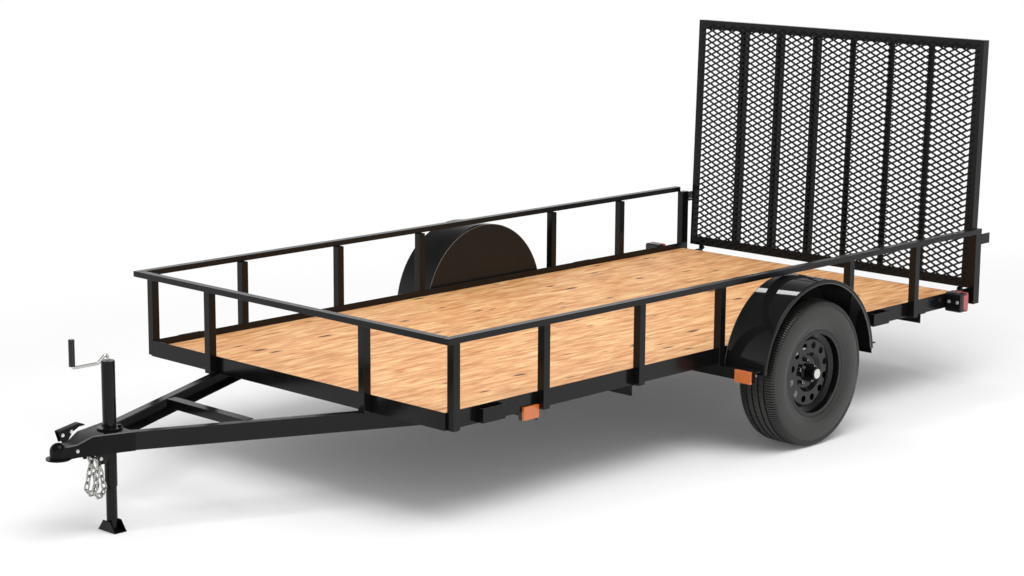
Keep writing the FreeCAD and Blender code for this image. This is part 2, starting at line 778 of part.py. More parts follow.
# Hub: flange behind the disc, a barrel on the spindle, a dust cap, the wheel studs and their hexagon nuts
bore = mm.spindle_radius + mm.spindle_gap
hub_in = axle_end + mm.seat_gap - disc_y
end_gap = axle_end + mm.spindle_length + mm.seat_gap - disc_y
hub = turned("hub_left_form", [
    (hub_in, bore), (end_gap, bore), (end_gap, ZERO), (mm.cap_reach, ZERO), (mm.cap_reach, mm.cap_radius),
    (mm.disc_rise, mm.cap_radius), (mm.rim_wall, mm.hub_radius), (ZERO, mm.hub_radius),
    (ZERO, mm.hub_flange_radius),
    (-mm.hub_flange, mm.hub_flange_radius), (-mm.hub_flange, mm.hub_radius), (hub_in, mm.hub_radius)])
place(hub, disc_centre)
studs = ring_of_rods("stud", stud_spots, mm.stud_radius, disc_y - mm.seat_gap, mm.rim_wall + mm.nut_length)
wheel_parts["hub"] = fuse("hub_with_studs", [hub] + studs)
nuts = []
for index, (at_x, at_z) in enumerate(stud_spots):
    nut = doc.addObject("Part::Prism", f"nut_{index}")
    bind(nut, "Polygon", mm.nut_side_count)
    nut.Placement = FreeCAD.Placement(FreeCAD.Vector(), TURNS["Y"])
    bind(nut, "Circumradius", mm.nut_radius)
    bind(nut, "Height", mm.nut_length)
    nuts.append(place(nut, (at_x, disc_y + mm.rim_wall, at_z)))
nut_bores = ring_of_rods("nut_bore", stud_spots, mm.stud_radius, disc_y, mm.nut_length * 2)
wheel_parts["lug_nuts"] = cut("lug_nuts_form", group("nuts_whole", nuts), group("nut_bores", nut_bores))
plug_centre = (axle_x, disc_y + mm.cap_reach, mm.tyre_radius)
wheel_parts["hub_plug"] = cylinder("hub_plug_form", plug_centre, mm.plug_radius, mm.plug_length, "Y")
for piece, item in wheel_parts.items():
    keep(piece + "_left", item)
    keep(piece + "_right", mirror(piece + "_right_form", item))

# Tongue rails: channels with their open side inward, joined at the coupler
tongue_bottom = frame_bottom - mm.tongue_depth
rail_run = (mm.ball_ahead - mm.rails_behind_ball + mm.tongue_rear) / cosine(mm.tongue_angle)
tongue_back_x = bed_front - mm.tongue_rear
apex_x = ball_x - mm.apex_behind_ball
tongue_back_y = (apex_x - tongue_back_x) * sine(mm.tongue_angle) / cosine(mm.tongue_angle)
web = box("tongue_web", (ZERO, -mm.tongue_wall, ZERO), (rail_run, mm.tongue_wall, mm.tongue_depth))
low_flange = box("tongue_low", (ZERO, -mm.tongue_flange, ZERO), (rail_run, mm.tongue_flange, mm.tongue_wall))
top_flange = box("tongue_top", (ZERO, -mm.tongue_flange, mm.tongue_depth - mm.tongue_wall),
                 (rail_run, mm.tongue_flange, mm.tongue_wall))
tongue_left = fuse("tongue_left_form", [web, low_flange, top_flange])
turn(tongue_left, FreeCAD.Vector(0, 0, -1), mm.tongue_angle)
place(tongue_left, (tongue_back_x, tongue_back_y, tongue_bottom))
keep("tongue_left", tongue_left)
keep("tongue_right", mirror("tongue_right_form", tongue_left))

# Brace between the tongue rails
brace_x = bed_front + mm.brace_ahead
slope = sine(mm.tongue_angle) / cosine(mm.tongue_angle)
brace_half = (apex_x - brace_x) * slope - mm.tongue_flange - mm.brace_clear
brace = fuse("tongue_brace_form", [
    box("brace_shelf", (brace_x - mm.brace_leg, -brace_half, frame_bottom - mm.tongue_wall),
        (mm.brace_leg, brace_half * 2, mm.tongue_wall)),
    box("brace_upright", (brace_x - mm.tongue_wall, -brace_half, frame_bottom - mm.brace_depth),
        (mm.tongue_wall, brace_half * 2, mm.brace_depth))])
keep("tongue_brace", brace)

# Coupler: a tapered channel over the tongue's nose, with a ball socket and a turned-out lip
neck_x = ball_x - mm.neck_behind_ball
coupler_back = ball_x - mm.coupler_length
cover_gap = (mm.coupler_wall + mm.cover_gap) / cosine(mm.tongue_angle)
back_half = (apex_x - coupler_back) * slope + cover_gap
coupler_top = frame_bottom + mm.seat_gap + mm.coupler_wall
coupler_height = coupler_top - tongue_bottom
neck_back = neck_x - mm.neck_run
plan_back = [(coupler_back, -back_half), (coupler_back, back_half)]
shell_plan = padded("coupler_plan", "XY_Plane", plan_back + [
    (neck_x, mm.coupler_nose_half), (ball_x, mm.coupler_nose_half), (ball_x, -mm.coupler_nose_half),
    (neck_x, -mm.coupler_nose_half)], coupler_height)
place(shell_plan, (ZERO, ZERO, tongue_bottom + coupler_height / 2))


# The coupler's side outline, full height over the tongue and dropping to the ball housing
def coupler_side(name, wall):
    top = coupler_top - wall
    return padded(name, "XZ_Plane", [
        (coupler_back - mm.overrun, tongue_bottom - wall), (coupler_back - mm.overrun, top),
        (neck_back, top),
        (neck_x - wall, top - mm.neck_drop), (ball_x, top - mm.neck_drop), (ball_x, tongue_bottom - wall)],
        back_half * 2)


def common(name, base, tool):
    item = doc.addObject("Part::Common", name)
    item.Base = base
    item.Tool = tool
    return item


shell = common("coupler_shell", shell_plan, coupler_side("coupler_side_outer", ZERO))
hollow_half = back_half - mm.coupler_wall / cosine(mm.tongue_angle)
nose_inner = mm.coupler_nose_half - mm.coupler_wall
hollow_plan = padded("coupler_hollow_plan", "XY_Plane", [
    (coupler_back - mm.overrun, -hollow_half), (coupler_back - mm.overrun, hollow_half),
    (neck_x - mm.coupler_wall, nose_inner), (neck_x - mm.coupler_wall, -nose_inner)], coupler_height * 2)
place(hollow_plan, (ZERO, ZERO, tongue_bottom + coupler_height / 2))
coupler_hollow = common("coupler_hollow", hollow_plan, coupler_side("coupler_side_inner", mm.coupler_wall))
nose = doc.addObject("Part::Sphere", "socket_dome")
bind(nose, "Radius", mm.socket_outer)
place(nose, (ball_x, ZERO, mm.socket_height))
skirt = cylinder("socket_skirt", (ball_x, ZERO, mm.lip_level), mm.socket_outer,
                 mm.socket_height - mm.lip_level)
lip = cylinder("socket_lip", (ball_x, ZERO, mm.lip_level - mm.lip_thick), mm.lip_radius, mm.lip_thick)
ball_room = mm.ball_radius + mm.ball_clearance
ball_space = doc.addObject("Part::Sphere", "ball_space")
bind(ball_space, "Radius", ball_room)
place(ball_space, (ball_x, ZERO, mm.socket_height))
below = mm.socket_height - mm.lip_level + mm.lip_thick + mm.overrun
ball_way = cylinder("ball_way", (ball_x, ZERO, mm.socket_height - below), ball_room, below)
lip_trim = cylinder("lip_trim", (ball_x, ZERO, mm.socket_height - mm.socket_outer - mm.lip_thick),
                    mm.lip_radius, mm.lip_level - mm.socket_height + mm.socket_outer)
jack_x = ball_x - mm.jack_behind_ball
jack_hole = cylinder("jack_hole", (jack_x, ZERO, tongue_bottom - mm.overrun),
                     mm.jack_sleeve_radius + mm.seat_gap, coupler_height * 2)
coupler_body = cut("coupler_shell_open", shell, coupler_hollow)
coupler = cut("coupler_form", fuse("coupler_whole", [coupler_body, nose, skirt, lip]),
              fuse("coupler_spaces", [ball_space, ball_way, lip_trim, jack_hole]))
keep("coupler", coupler)

# Latch lever on the coupler's top
lever_root = ball_x - mm.lever_foot_ahead
latch = padded("coupler_latch_form", "XZ_Plane", [
    (lever_root - mm.lever_width, mm.socket_height + mm.lever_foot_rise),
    (lever_root, mm.socket_height + mm.lever_foot_rise),
    (ball_x + mm.lever_nose_ahead, mm.socket_height + mm.lever_nose_rise),
    (ball_x - mm.lever_back, mm.socket_height + mm.lever_back_rise),
    (ball_x - mm.lever_tip, mm.socket_height + mm.lever_tip_rise),
    (ball_x - mm.lever_throat, mm.socket_height + mm.lever_throat_rise)], mm.lever_width)
keep("coupler_latch", latch)

# Jack: a tube through the coupler with a bolted flange, a sliding leg with its foot, and a crank
flange_z = coupler_top
jack_shell = fuse("jack_shell", [
    cylinder("jack_tube_outer", (jack_x, ZERO, flange_z), mm.jack_tube_radius, mm.jack_top - flange_z),
    cylinder("jack_sleeve", (jack_x, ZERO, mm.jack_sleeve_bottom), mm.jack_sleeve_radius,
             flange_z - mm.jack_sleeve_bottom + mm.overrun),
    cylinder("jack_flange", (jack_x, ZERO, flange_z), mm.flange_radius, mm.flange_thick)])
jack_bore = cylinder("jack_bore", (jack_x, ZERO, mm.jack_sleeve_bottom - mm.overrun),
                     mm.jack_leg_radius + mm.jack_leg_gap,
                     mm.jack_top - mm.jack_sleeve_bottom + mm.overrun - mm.jack_tube_wall)
keep("jack_tube", cut("jack_tube_form", jack_shell, jack_bore))
leg_outer = cylinder("leg_outer", (jack_x, ZERO, mm.foot_plate), mm.jack_leg_radius,
                     mm.jack_leg_top - mm.foot_plate)
leg_bore = cylinder("leg_bore", (jack_x, ZERO, mm.foot_plate - mm.overrun),
                    mm.jack_leg_radius - mm.jack_leg_wall, mm.jack_leg_top)
keep("jack_leg", cut("jack_leg_form", leg_outer, leg_bore))
foot_base = box("foot_base", (jack_x - mm.foot_length / 2, -mm.foot_width / 2, ZERO),
                (mm.foot_length, mm.foot_width, mm.foot_plate))
foot_cheek = padded("foot_cheek_front", "YZ_Plane", [
    (-mm.foot_width / 2, ZERO), (mm.foot_width / 2, ZERO), (mm.jack_leg_radius, mm.foot_height),
    (-mm.jack_leg_radius, mm.foot_height)], mm.foot_plate)
place(foot_cheek, (jack_x + (mm.foot_length - mm.foot_plate) / 2, ZERO, ZERO))
foot_cheek_back = padded("foot_cheek_back", "YZ_Plane", [
    (-mm.foot_width / 2, ZERO), (mm.foot_width / 2, ZERO), (mm.jack_leg_radius, mm.foot_height),
    (-mm.jack_leg_radius, mm.foot_height)], mm.foot_plate)
place(foot_cheek_back, (jack_x - (mm.foot_length - mm.foot_plate) / 2, ZERO, ZERO))
keep("jack_foot", fuse("jack_foot_form", [foot_base, foot_cheek, foot_cheek_back]))
crank_top = mm.jack_top + mm.crank_stem_rise
slant_x = jack_x + mm.crank_top_run
arm_x = slant_x + mm.crank_slant * sine(mm.crank_slant_angle)
arm_z = crank_top + mm.crank_slant * cosine(mm.crank_slant_angle)
handle_x = arm_x + mm.crank_arm


# A ball where two straight lengths of the crank's rod meet
def rod_bend(name, bend_x, bend_z):
    ball = doc.addObject("Part::Sphere", name)
    bind(ball, "Radius", mm.crank_rod)
    return place(ball, (bend_x, ZERO, bend_z))


slant = doc.addObject("Part::Cylinder", "crank_slant")
bind(slant, "Radius", mm.crank_rod)
bind(slant, "Height", mm.crank_slant)
turn(slant, AXES["Y"], mm.crank_slant_angle)
place(slant, (slant_x, ZERO, crank_top))
crank = fuse("jack_crank_form", [
    cylinder("crank_stem", (jack_x, ZERO, mm.jack_top), mm.crank_rod, mm.crank_stem_rise),
    rod_bend("crank_bend_stem", jack_x, crank_top),
    cylinder("crank_top_rod", (jack_x, ZERO, crank_top), mm.crank_rod, mm.crank_top_run, "X"),
    rod_bend("crank_bend_top", slant_x, crank_top), slant, rod_bend("crank_bend_low", arm_x, arm_z),
    cylinder("crank_arm", (arm_x, ZERO, arm_z), mm.crank_rod, mm.crank_arm, "X"),
    rod_bend("crank_bend_handle", handle_x, arm_z),
    cylinder("crank_handle", (handle_x, ZERO, arm_z), mm.crank_rod, mm.crank_handle)])
keep("jack_crank", crank)
grip_bottom = arm_z + mm.grip_rise
grip = cut("jack_grip_form",
           cylinder("grip_outer", (handle_x, ZERO, grip_bottom), mm.grip_radius, mm.grip_length),
           cylinder("grip_bore", (handle_x, ZERO, grip_bottom - mm.overrun), mm.crank_rod,
                    mm.crank_handle - mm.grip_rise + mm.overrun))
keep("jack_grip", grip)

# Ramp gate: an angle frame, six upright bars and expanded mesh, hinged on pins behind the bed
gate_pivot = (bed_rear - mm.gate_hinge_back, ZERO, mm.gate_hinge_height)
gate_bottom = mm.gate_foot_gap
gate_span = gate_half * 2
half_angle = mm.gate_angle / 2
face_x = half_angle - mm.gate_wall
gate_face = cut("gate_face", box("gate_face_outer", (face_x, -gate_half, gate_bottom),
                                 (mm.gate_wall, gate_span, mm.gate_height)),
                box("gate_face_inner", (face_x - mm.overrun, mm.gate_angle - gate_half,
                                        gate_bottom + mm.gate_angle),
                    (mm.gate_wall + mm.overrun * 2, gate_span - mm.gate_angle * 2,
                     mm.gate_height - mm.gate_angle * 2)))
gate_rim = cut("gate_rim", box("gate_rim_outer", (-half_angle, -gate_half, gate_bottom),
                               (mm.gate_angle, gate_span, mm.gate_height)),
               box("gate_rim_inner", (-half_angle - mm.overrun, mm.gate_wall - gate_half,
                                      gate_bottom + mm.gate_wall),
                   (mm.gate_angle + mm.overrun * 2, gate_span - mm.gate_wall * 2,
                    mm.gate_height - mm.gate_wall * 2)))


def lean(item):
    turn(item, FreeCAD.Vector(0, -1, 0), mm.gate_lean)
    return place(item, gate_pivot)


keep("gate_frame", lean(fuse("gate_frame_form", [gate_face, gate_rim])))

# Upright bars, mirrored about the middle, standing on the frame's face
bar_height = mm.gate_height - mm.gate_wall * 2
bar_front = face_x - mm.gate_bar_wall
bars = []
for index in range(int(mm.gate_bar_count.number)):
    share = 2 * index / (sizes["gate_bar_count"] - 1) - 1
    bar_y = mm.gate_bar_first * share
    face_y = bar_y - mm.gate_bar / 2
    leg_y = face_y if share > 0 else face_y + mm.gate_bar - mm.gate_bar_wall
    bars.append(fuse(f"gate_bar_{index}", [
        box(f"gate_bar_face_{index}", (bar_front, face_y, gate_bottom + mm.gate_wall),
            (mm.gate_bar_wall, mm.gate_bar, bar_height)),
        box(f"gate_bar_leg_{index}", (face_x - mm.gate_bar, leg_y, gate_bottom + mm.gate_wall),
            (mm.gate_bar, mm.gate_bar_wall, bar_height))]))
keep("gate_bars", lean(group("gate_bars_form", bars)))


# Expanded mesh as two layers of slanted strands on the frame's face
def mesh_layer(direction, depth_at):
    low = float(gate_bottom) + float(mm.mesh_margin)
    high = float(gate_bottom + mm.gate_height) - float(mm.mesh_margin)
    wide = float(gate_half) - float(mm.mesh_margin)
    grade = float(mm.mesh_rise) / float(mm.mesh_run)
    strand = float(mm.mesh_strand)
    pieces = []
    lift = low - grade * wide + float(mm.mesh_rise) / 2
    while lift < high + grade * wide:
        left = max(-wide, (low - lift) / grade)
        right = min(wide, (high - lift) / grade)
        if right - left > float(mm.mesh_run):
            corners = [FreeCAD.Vector(depth_at, direction * across,
                                      lift + grade * across + side * strand / 2)
                       for across, side in ((left, -1), (right, -1), (right, 1), (left, 1), (left, -1))]
            face = Part.Face(Part.makePolygon(corners))
            pieces.append(face.extrude(FreeCAD.Vector(float(mm.mesh_thick), 0, 0)))
        lift += float(mm.mesh_rise)
    return Part.makeCompound(pieces)


for node, direction, layer in (("gate_mesh_rising", 1, 0), ("gate_mesh_falling", -1, 1)):
    depth_at = float(half_angle) + layer * float(mm.mesh_thick)
    strands = shape_node(node + "_form", mesh_layer(direction, depth_at))
    keep(node, lean(strands))

# Hinges: pins on the gate turn in lugs on the rear frame
pin_y = gate_half - mm.hinge_from_end
lug_bore = mm.hinge_pin_radius + mm.hinge_pin_gap
lugs = []
pins = []
for index, side in enumerate((1, -1)):
    lug_y = pin_y * side - mm.hinge_lug / 2
    plate = box(f"hinge_plate_{index}", (bed_rear - mm.gate_hinge_back, lug_y,
                                         mm.gate_hinge_height - mm.frame_leg),
                (mm.gate_hinge_back, mm.hinge_lug, mm.frame_leg - mm.hinge_foot_gap))
    ring = cylinder(f"hinge_ring_{index}", (bed_rear - mm.gate_hinge_back, lug_y, mm.gate_hinge_height),
                    mm.hinge_lug_radius, mm.hinge_lug, "Y")
    hole = cylinder(f"hinge_hole_{index}",
                    (bed_rear - mm.gate_hinge_back, lug_y - mm.overrun, mm.gate_hinge_height),
                    lug_bore, mm.hinge_lug + mm.overrun * 2, "Y")
    lugs.append(cut(f"hinge_lug_{index}", fuse(f"hinge_lug_whole_{index}", [plate, ring]), hole))
    ear_y = pin_y * side + mm.hinge_pin_half * side - mm.hinge_lug / 2
    ear = box(f"gate_ear_{index}", (-mm.hinge_pin_radius, ear_y, -mm.hinge_pin_radius),
              (mm.hinge_pin_radius * 2, mm.hinge_lug, gate_bottom + mm.hinge_pin_radius))
    pin = cylinder(f"gate_pin_{index}", (ZERO, pin_y * side - mm.hinge_pin_half, ZERO), mm.hinge_pin_radius,
                   mm.hinge_pin_half * 2, "Y")
    pins += [ear, pin]
keep("hinge_lugs", group("hinge_lugs_form", lugs))
keep("gate_hinge_pins", lean(fuse("gate_hinge_pins_form", pins)))

# Gate latches: a bracket behind each rear post, and a lug and bolt on the gate's stile
latch_x = bed_rear + mm.rear_post_ahead - mm.rear_post_size
bracket = box("latch_bracket_left", (latch_x - mm.latch_reach, post_outer - mm.latch_wall, mm.latch_low),
              (mm.latch_reach, mm.latch_wall, mm.latch_tall))
keep("latch_brackets", group("latch_brackets_form", [bracket, mirror("latch_bracket_right", bracket)]))
bolt_z = mm.latch_low + mm.latch_tall / 2 - mm.gate_hinge_height
bolt = cylinder("latch_bolt", (ZERO, gate_half, bolt_z), mm.latch_bolt_radius,
                post_outer - gate_half - mm.latch_wall - mm.latch_clearance, "Y")
keep("latch_bolts", lean(group("latch_bolts_form", [bolt, mirror("latch_bolt_right", bolt)])))

# Side markers at the first cross member, fender markers on the outriggers, and tail lamps
marker_z = frame_bottom - mm.marker_height + mm.marker_rise
marker = box("marker_base", (marker_x, half_width - mm.marker_depth, marker_z),
             (mm.marker_length, mm.marker_depth, frame_bottom - marker_z))
marker_lens = box("marker_lens", (marker_x, half_width, marker_z), (mm.marker_length, mm.lens_depth,
                                                                    mm.marker_height))
fender_marker_y = outrigger_tip - mm.marker_length - mm.fender_marker_inset
fender_marker = box("fender_marker", (axle_x + mm.outrigger_ahead, fender_marker_y,
                                      frame_bottom - mm.marker_height),
                    (mm.lens_depth, mm.marker_length, mm.marker_height))
keep("marker_bases", group("marker_bases_form", [marker, mirror("marker_base_right", marker)]))
lenses_left = group("marker_lenses_left", [marker_lens, fender_marker])
keep("marker_lenses", group("marker_lenses_form", [lenses_left, mirror("marker_lenses_right", lenses_left)]))
tail_x = bed_rear + mm.tail_from_rear
tail_z = frame_bottom - mm.tail_drop
tail_house = box("tail_house", (tail_x + mm.tail_lens_length, half_width, tail_z),
                 (mm.tail_length, mm.tail_width, mm.tail_height))
tail_lens = box("tail_lens", (tail_x, half_width, tail_z),
                (mm.tail_lens_length, mm.tail_width, mm.tail_height))
keep("tail_lamp_housings", group("tail_housings_form", [tail_house, mirror("tail_house_right", tail_house)]))
keep("tail_lamp_lenses", group("tail_lenses_form", [tail_lens, mirror("tail_lens_right", tail_lens)]))

# Safety chains: two loops hanging from a lug under the coupler
lug_x = ball_x - mm.chain_behind_ball
lug_top = tongue_bottom
bolt_level = tongue_bottom - mm.chain_bolt_drop
cheeks = []
for index, side in enumerate((1, -1)):
    cheek = padded(f"chain_cheek_{index}", "XZ_Plane", [
        (lug_x - mm.chain_lug_length / 2, lug_top), (lug_x - mm.chain_lug_foot / 2,
                                                     tongue_bottom - mm.chain_lug_drop),
        (lug_x + mm.chain_lug_foot / 2, tongue_bottom - mm.chain_lug_drop),
        (lug_x + mm.chain_lug_length / 2, lug_top)], mm.chain_lug_wall)
    cheeks.append(place(cheek, (ZERO, (mm.chain_lug_half - mm.chain_lug_wall / 2) * side, ZERO)))
bridge = box("chain_bridge", (lug_x - mm.chain_lug_length / 2, -mm.chain_lug_half,
                              lug_top - mm.chain_lug_wall / 2),
             (mm.chain_lug_length, mm.chain_lug_half * 2, mm.chain_lug_wall / 2))
bolt_half = mm.chain_lug_half + mm.chain_head
chain_bolt = cylinder("chain_bolt", (lug_x, -mm.chain_lug_half, bolt_level), mm.chain_bolt_radius,
                      mm.chain_lug_half * 2, "Y")
heads = [cylinder(f"chain_bolt_end_{index}", (lug_x, end_y, bolt_level), mm.chain_head_radius,
                  mm.chain_head, "Y") for index, end_y in enumerate((mm.chain_lug_half, -bolt_half))]
keep("chain_bracket", fuse("chain_bracket_form", cheeks + [bridge, chain_bolt] + heads))


# One link: a straight-sided ring of wire, lying along +X with its flat in the XY plane. Its wire has six
# flats and each end turns through a few corners, mitred.
link_side_count = 6
end_corner_count = 4


def link_shape():
    wire = float(mm.chain_wire) / 2
    side = float(mm.chain_inner_width) / 2 + wire
    straight = float(mm.chain_inner_length) / 2 + wire - side
    bend = math.pi / end_corner_count
    mitre = 1 / math.cos(bend / 2)
    spokes = [2 * math.pi * number / link_side_count for number in range(link_side_count)]
    rings = []
    for end in (1, -1):
        for number in range(end_corner_count):
            swing = bend * (number + 1 / 2) - end * math.pi / 2
            outward = FreeCAD.Vector(math.cos(swing), math.sin(swing), 0)
            corner = FreeCAD.Vector(end * straight, 0, 0) + outward * (side * mitre)
            rings.append([corner + outward * (wire * mitre * math.cos(spoke))
                          + AXES["Z"] * (wire * math.sin(spoke)) for spoke in spokes])
    faces = []
    for ring, following in zip(rings, rings[1:] + rings[:1]):
        for number in range(link_side_count):
            past = (number + 1) % link_side_count
            corners = [ring[number], ring[past], following[past], following[number], ring[number]]
            faces.append(Part.Face(Part.makePolygon(corners)))
    solid = Part.Solid(Part.Shell(faces))
    return solid if solid.Volume > 0 else solid.reversed()


# Each link's tilt from the level: down one strand, round the foot of the loop and up the other
foot_tilt = mm.chain_foot_tilt.number
strand_link_count = 5
foot_tilts = [-foot_tilt, 0, foot_tilt]
foot_run = sum(math.cos(math.radians(tilt)) for tilt in foot_tilts)
chain_pitch = float(mm.chain_inner_length - mm.chain_gap)
bolt_share = float(mm.chain_bolt_radius) / chain_pitch
strand_tilt = 180 - math.degrees(math.acos(foot_run / (2 * (strand_link_count - bolt_share))))
chain_tilts = [-strand_tilt] * strand_link_count + foot_tilts + [strand_tilt] * strand_link_count


def chain_loop(middle_y):
    link = link_shape()
    spot = FreeCAD.Vector(float(lug_x), middle_y - float(mm.chain_strand_gap) / 2, float(bolt_level))
    first = math.radians(strand_tilt)
    spot += FreeCAD.Vector(-math.cos(first), 0, math.sin(first)) * float(mm.chain_bolt_radius)
    links = []
    for index, tilt in enumerate(chain_tilts):
        drift = 0 if abs(tilt) > foot_tilt else float(mm.chain_strand_gap) / len(foot_tilts)
        step = FreeCAD.Vector(math.cos(math.radians(tilt)), 0, math.sin(math.radians(tilt))) * chain_pitch
        step.y = drift
        piece = link.copy()
        twist = FreeCAD.Rotation(AXES["X"], 90 * ((index + 1) % 2))
        heading = FreeCAD.Rotation(AXES["Y"], -tilt)
        swing = FreeCAD.Rotation(AXES["Z"], math.degrees(math.atan2(drift, chain_pitch)))
        piece.Placement = FreeCAD.Placement(spot + step / 2, heading * swing * twist)
        links.append(piece)
        spot += step
    return links


chains = shape_node("safety_chains_form", Part.makeCompound(chain_loop(float(mm.chain_spread))
                                                            + chain_loop(-float(mm.chain_spread))))
keep("safety_chains", chains)

# Check every object, then write each sub-part
doc.recompute()
for item in doc.Objects:
    bad = [word for word in item.State if word in ("Invalid", "Error")]
    if bad:
        raise RuntimeError(f"{item.Name} is {bad}")
for node, item in nodes.items():
    shape = item.Shape
    if shape.isNull() or not shape.isValid() or shape.Volume <= 0:
        raise RuntimeError(f"{node} has no valid shape")
    shape.exportStep(f"parts/{node}.step")
print(len(nodes), "sub-parts written")
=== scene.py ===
# %% [markdown]
# # An open utility trailer, dressed for its picture
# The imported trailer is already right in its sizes: every steel section, wheel and lamp stands where the
# real one does. What it lacks is what the eye reads as real, such as rounded steel edges, gloss paint,
# pine grain, tyre tread and expanded mesh. Each cell below adds one of these.

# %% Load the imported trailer
import json
import math

import bmesh
import bpy
from mathutils import Matrix, Vector


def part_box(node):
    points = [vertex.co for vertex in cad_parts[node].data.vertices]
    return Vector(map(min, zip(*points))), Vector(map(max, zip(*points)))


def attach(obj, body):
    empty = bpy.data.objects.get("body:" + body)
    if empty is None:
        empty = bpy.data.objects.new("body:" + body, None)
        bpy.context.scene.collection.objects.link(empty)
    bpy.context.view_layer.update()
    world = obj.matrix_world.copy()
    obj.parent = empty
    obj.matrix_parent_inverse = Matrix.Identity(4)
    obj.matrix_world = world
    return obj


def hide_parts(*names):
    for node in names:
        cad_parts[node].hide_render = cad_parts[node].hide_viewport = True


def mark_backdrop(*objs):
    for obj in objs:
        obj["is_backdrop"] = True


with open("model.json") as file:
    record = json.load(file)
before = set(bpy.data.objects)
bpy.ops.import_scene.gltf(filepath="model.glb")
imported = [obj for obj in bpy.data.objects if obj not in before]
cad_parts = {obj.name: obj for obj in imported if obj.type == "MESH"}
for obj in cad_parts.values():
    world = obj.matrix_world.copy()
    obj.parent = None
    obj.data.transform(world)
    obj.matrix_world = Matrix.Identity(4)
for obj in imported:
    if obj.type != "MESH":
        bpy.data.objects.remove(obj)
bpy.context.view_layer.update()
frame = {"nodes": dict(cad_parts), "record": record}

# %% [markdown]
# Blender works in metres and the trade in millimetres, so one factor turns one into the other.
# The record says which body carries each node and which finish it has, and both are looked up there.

MM = 0.001
nodes = frame["nodes"]
record = frame["record"]
slot_of = {part["node"]: part["material_slot"] for part in record["subparts"]}
body_of = {node: body for body, members in record["behaviour"]["bodies"].items() for node in members}
joint_place = {joint["name"]: Vector(joint["pos_m"]) for joint in record["behaviour"]["joints"]
               if "pos_m" in joint}

# %% [markdown]
# ## The camera
# The picture was taken from ahead of the trailer and to its left, well above the rails, with a long
# lens. The camera's place and turn were worked out once from the trailer's straight edges, and are kept
# here as real lengths and angles.

# %% Stand the camera where the picture was taken
PICTURE_WIDTH = 1024
FOCAL_PIXELS = 2282.0
SENSOR_WIDTH = 36.0
SIGHT_LENGTH = 200.0
CAMERA_PLACE = Vector((7.57824, 7.3346, 2.7363))
CAMERA_HEADING = math.radians(-136.083)
CAMERA_PITCH = math.radians(-10.971)
CAMERA_ROLL = math.radians(0.379)


def placed(name, data):
    """A new object with that data in the scene."""
    item = bpy.data.objects.new(name, data)
    bpy.context.scene.collection.objects.link(item)
    return item


def camera_turn(heading, pitch, roll):
    """The camera's turn as a matrix: it looks along heading and pitch, then rolls about that line."""
    level = math.cos(pitch)
    ahead = Vector((level * math.cos(heading), level * math.sin(heading), math.sin(pitch)))
    right = ahead.cross(Vector((0, 0, 1))).normalized()
    up = right.cross(ahead)
    rolled_right = right * math.cos(roll) + up * math.sin(roll)
    rolled_up = up * math.cos(roll) - right * math.sin(roll)
    return Matrix((rolled_right, rolled_up, -ahead)).transposed().to_4x4()


camera = placed("picture_camera", bpy.data.cameras.new("picture_camera"))
camera.data.sensor_width = SENSOR_WIDTH
camera.data.lens = FOCAL_PIXELS / PICTURE_WIDTH * SENSOR_WIDTH
camera.data.clip_end = SIGHT_LENGTH
camera.matrix_world = (Matrix.Translation(CAMERA_PLACE)
                       @ camera_turn(CAMERA_HEADING, CAMERA_PITCH, CAMERA_ROLL))
bpy.context.scene.camera = camera
bpy.context.scene.view_settings.view_transform = "Standard"
print("lens", round(camera.data.lens, 2), "mm")

# %% [markdown]
# ## Colours and shader nodes
# A colour picked from a picture is an sRGB one, and a shader wants it linear, so one function turns it.
# A second function adds any node with its settings, values and links, and every tree is made with it. The
# others are the steps that finishes share: a blend, soft patches of two tones, and a fine grain.

# %% Turn colours and add nodes
def linear(code):
    """An sRGB hex colour, such as #f5be8a, as the linear colour of a shader."""
    shares = [int(code[start:start + 2], 16) / 255 for start in (1, 3, 5)]
    return [share / 12.92 if share <= 0.04045 else ((share + 0.055) / 1.055) ** 2.4
            for share in shares] + [1.0]


def add(tree, kind, inputs=None, **settings):
    """A node of that kind with its settings. Each input gets a value, or a link from a socket or from the
    first output in use of another node."""
    node = tree.nodes.new(kind)
    for name, setting in settings.items():
        setattr(node, name, setting)
    for name, given in (inputs or {}).items():
        if isinstance(given, bpy.types.Node):
            given = next(output for output in given.outputs if output.enabled)
        if isinstance(given, bpy.types.NodeSocket):
            tree.links.new(given, node.inputs[name])
        else:
            node.inputs[name].default_value = given
    return node


print("black paint in linear terms:", [round(part, 4) for part in linear("#141414")])

# %% Steps that finishes share
MIX_A = 6
MIX_B = 7


def new_finish(name):
    """A new material: the material, its empty tree and the piece's own places."""
    material = bpy.data.materials.new(name)
    material.use_nodes = True
    tree = material.node_tree
    tree.nodes.clear()
    return material, tree, add(tree, "ShaderNodeTexCoord").outputs["Object"]


def coat(material, inputs):
    """Give the material one shader with these inputs."""
    shader = add(material.node_tree, "ShaderNodeBsdfPrincipled", inputs)
    add(material.node_tree, "ShaderNodeOutputMaterial", {"Surface": shader})
    return material


def blend(tree, share, first, second, start=0.0, end=1.0):
    """From the first number to the second while a share goes from start to end, or a blend of two colours."""
    if not isinstance(second, str):
        return add(tree, "ShaderNodeMapRange", {"Value": share, "From Min": start, "From Max": end,
                                                "To Min": first, "To Max": second})
    under = linear(first) if isinstance(first, str) else first
    return add(tree, "ShaderNodeMix", {"Factor": share, MIX_A: under, MIX_B: linear(second)},
               data_type="RGBA")


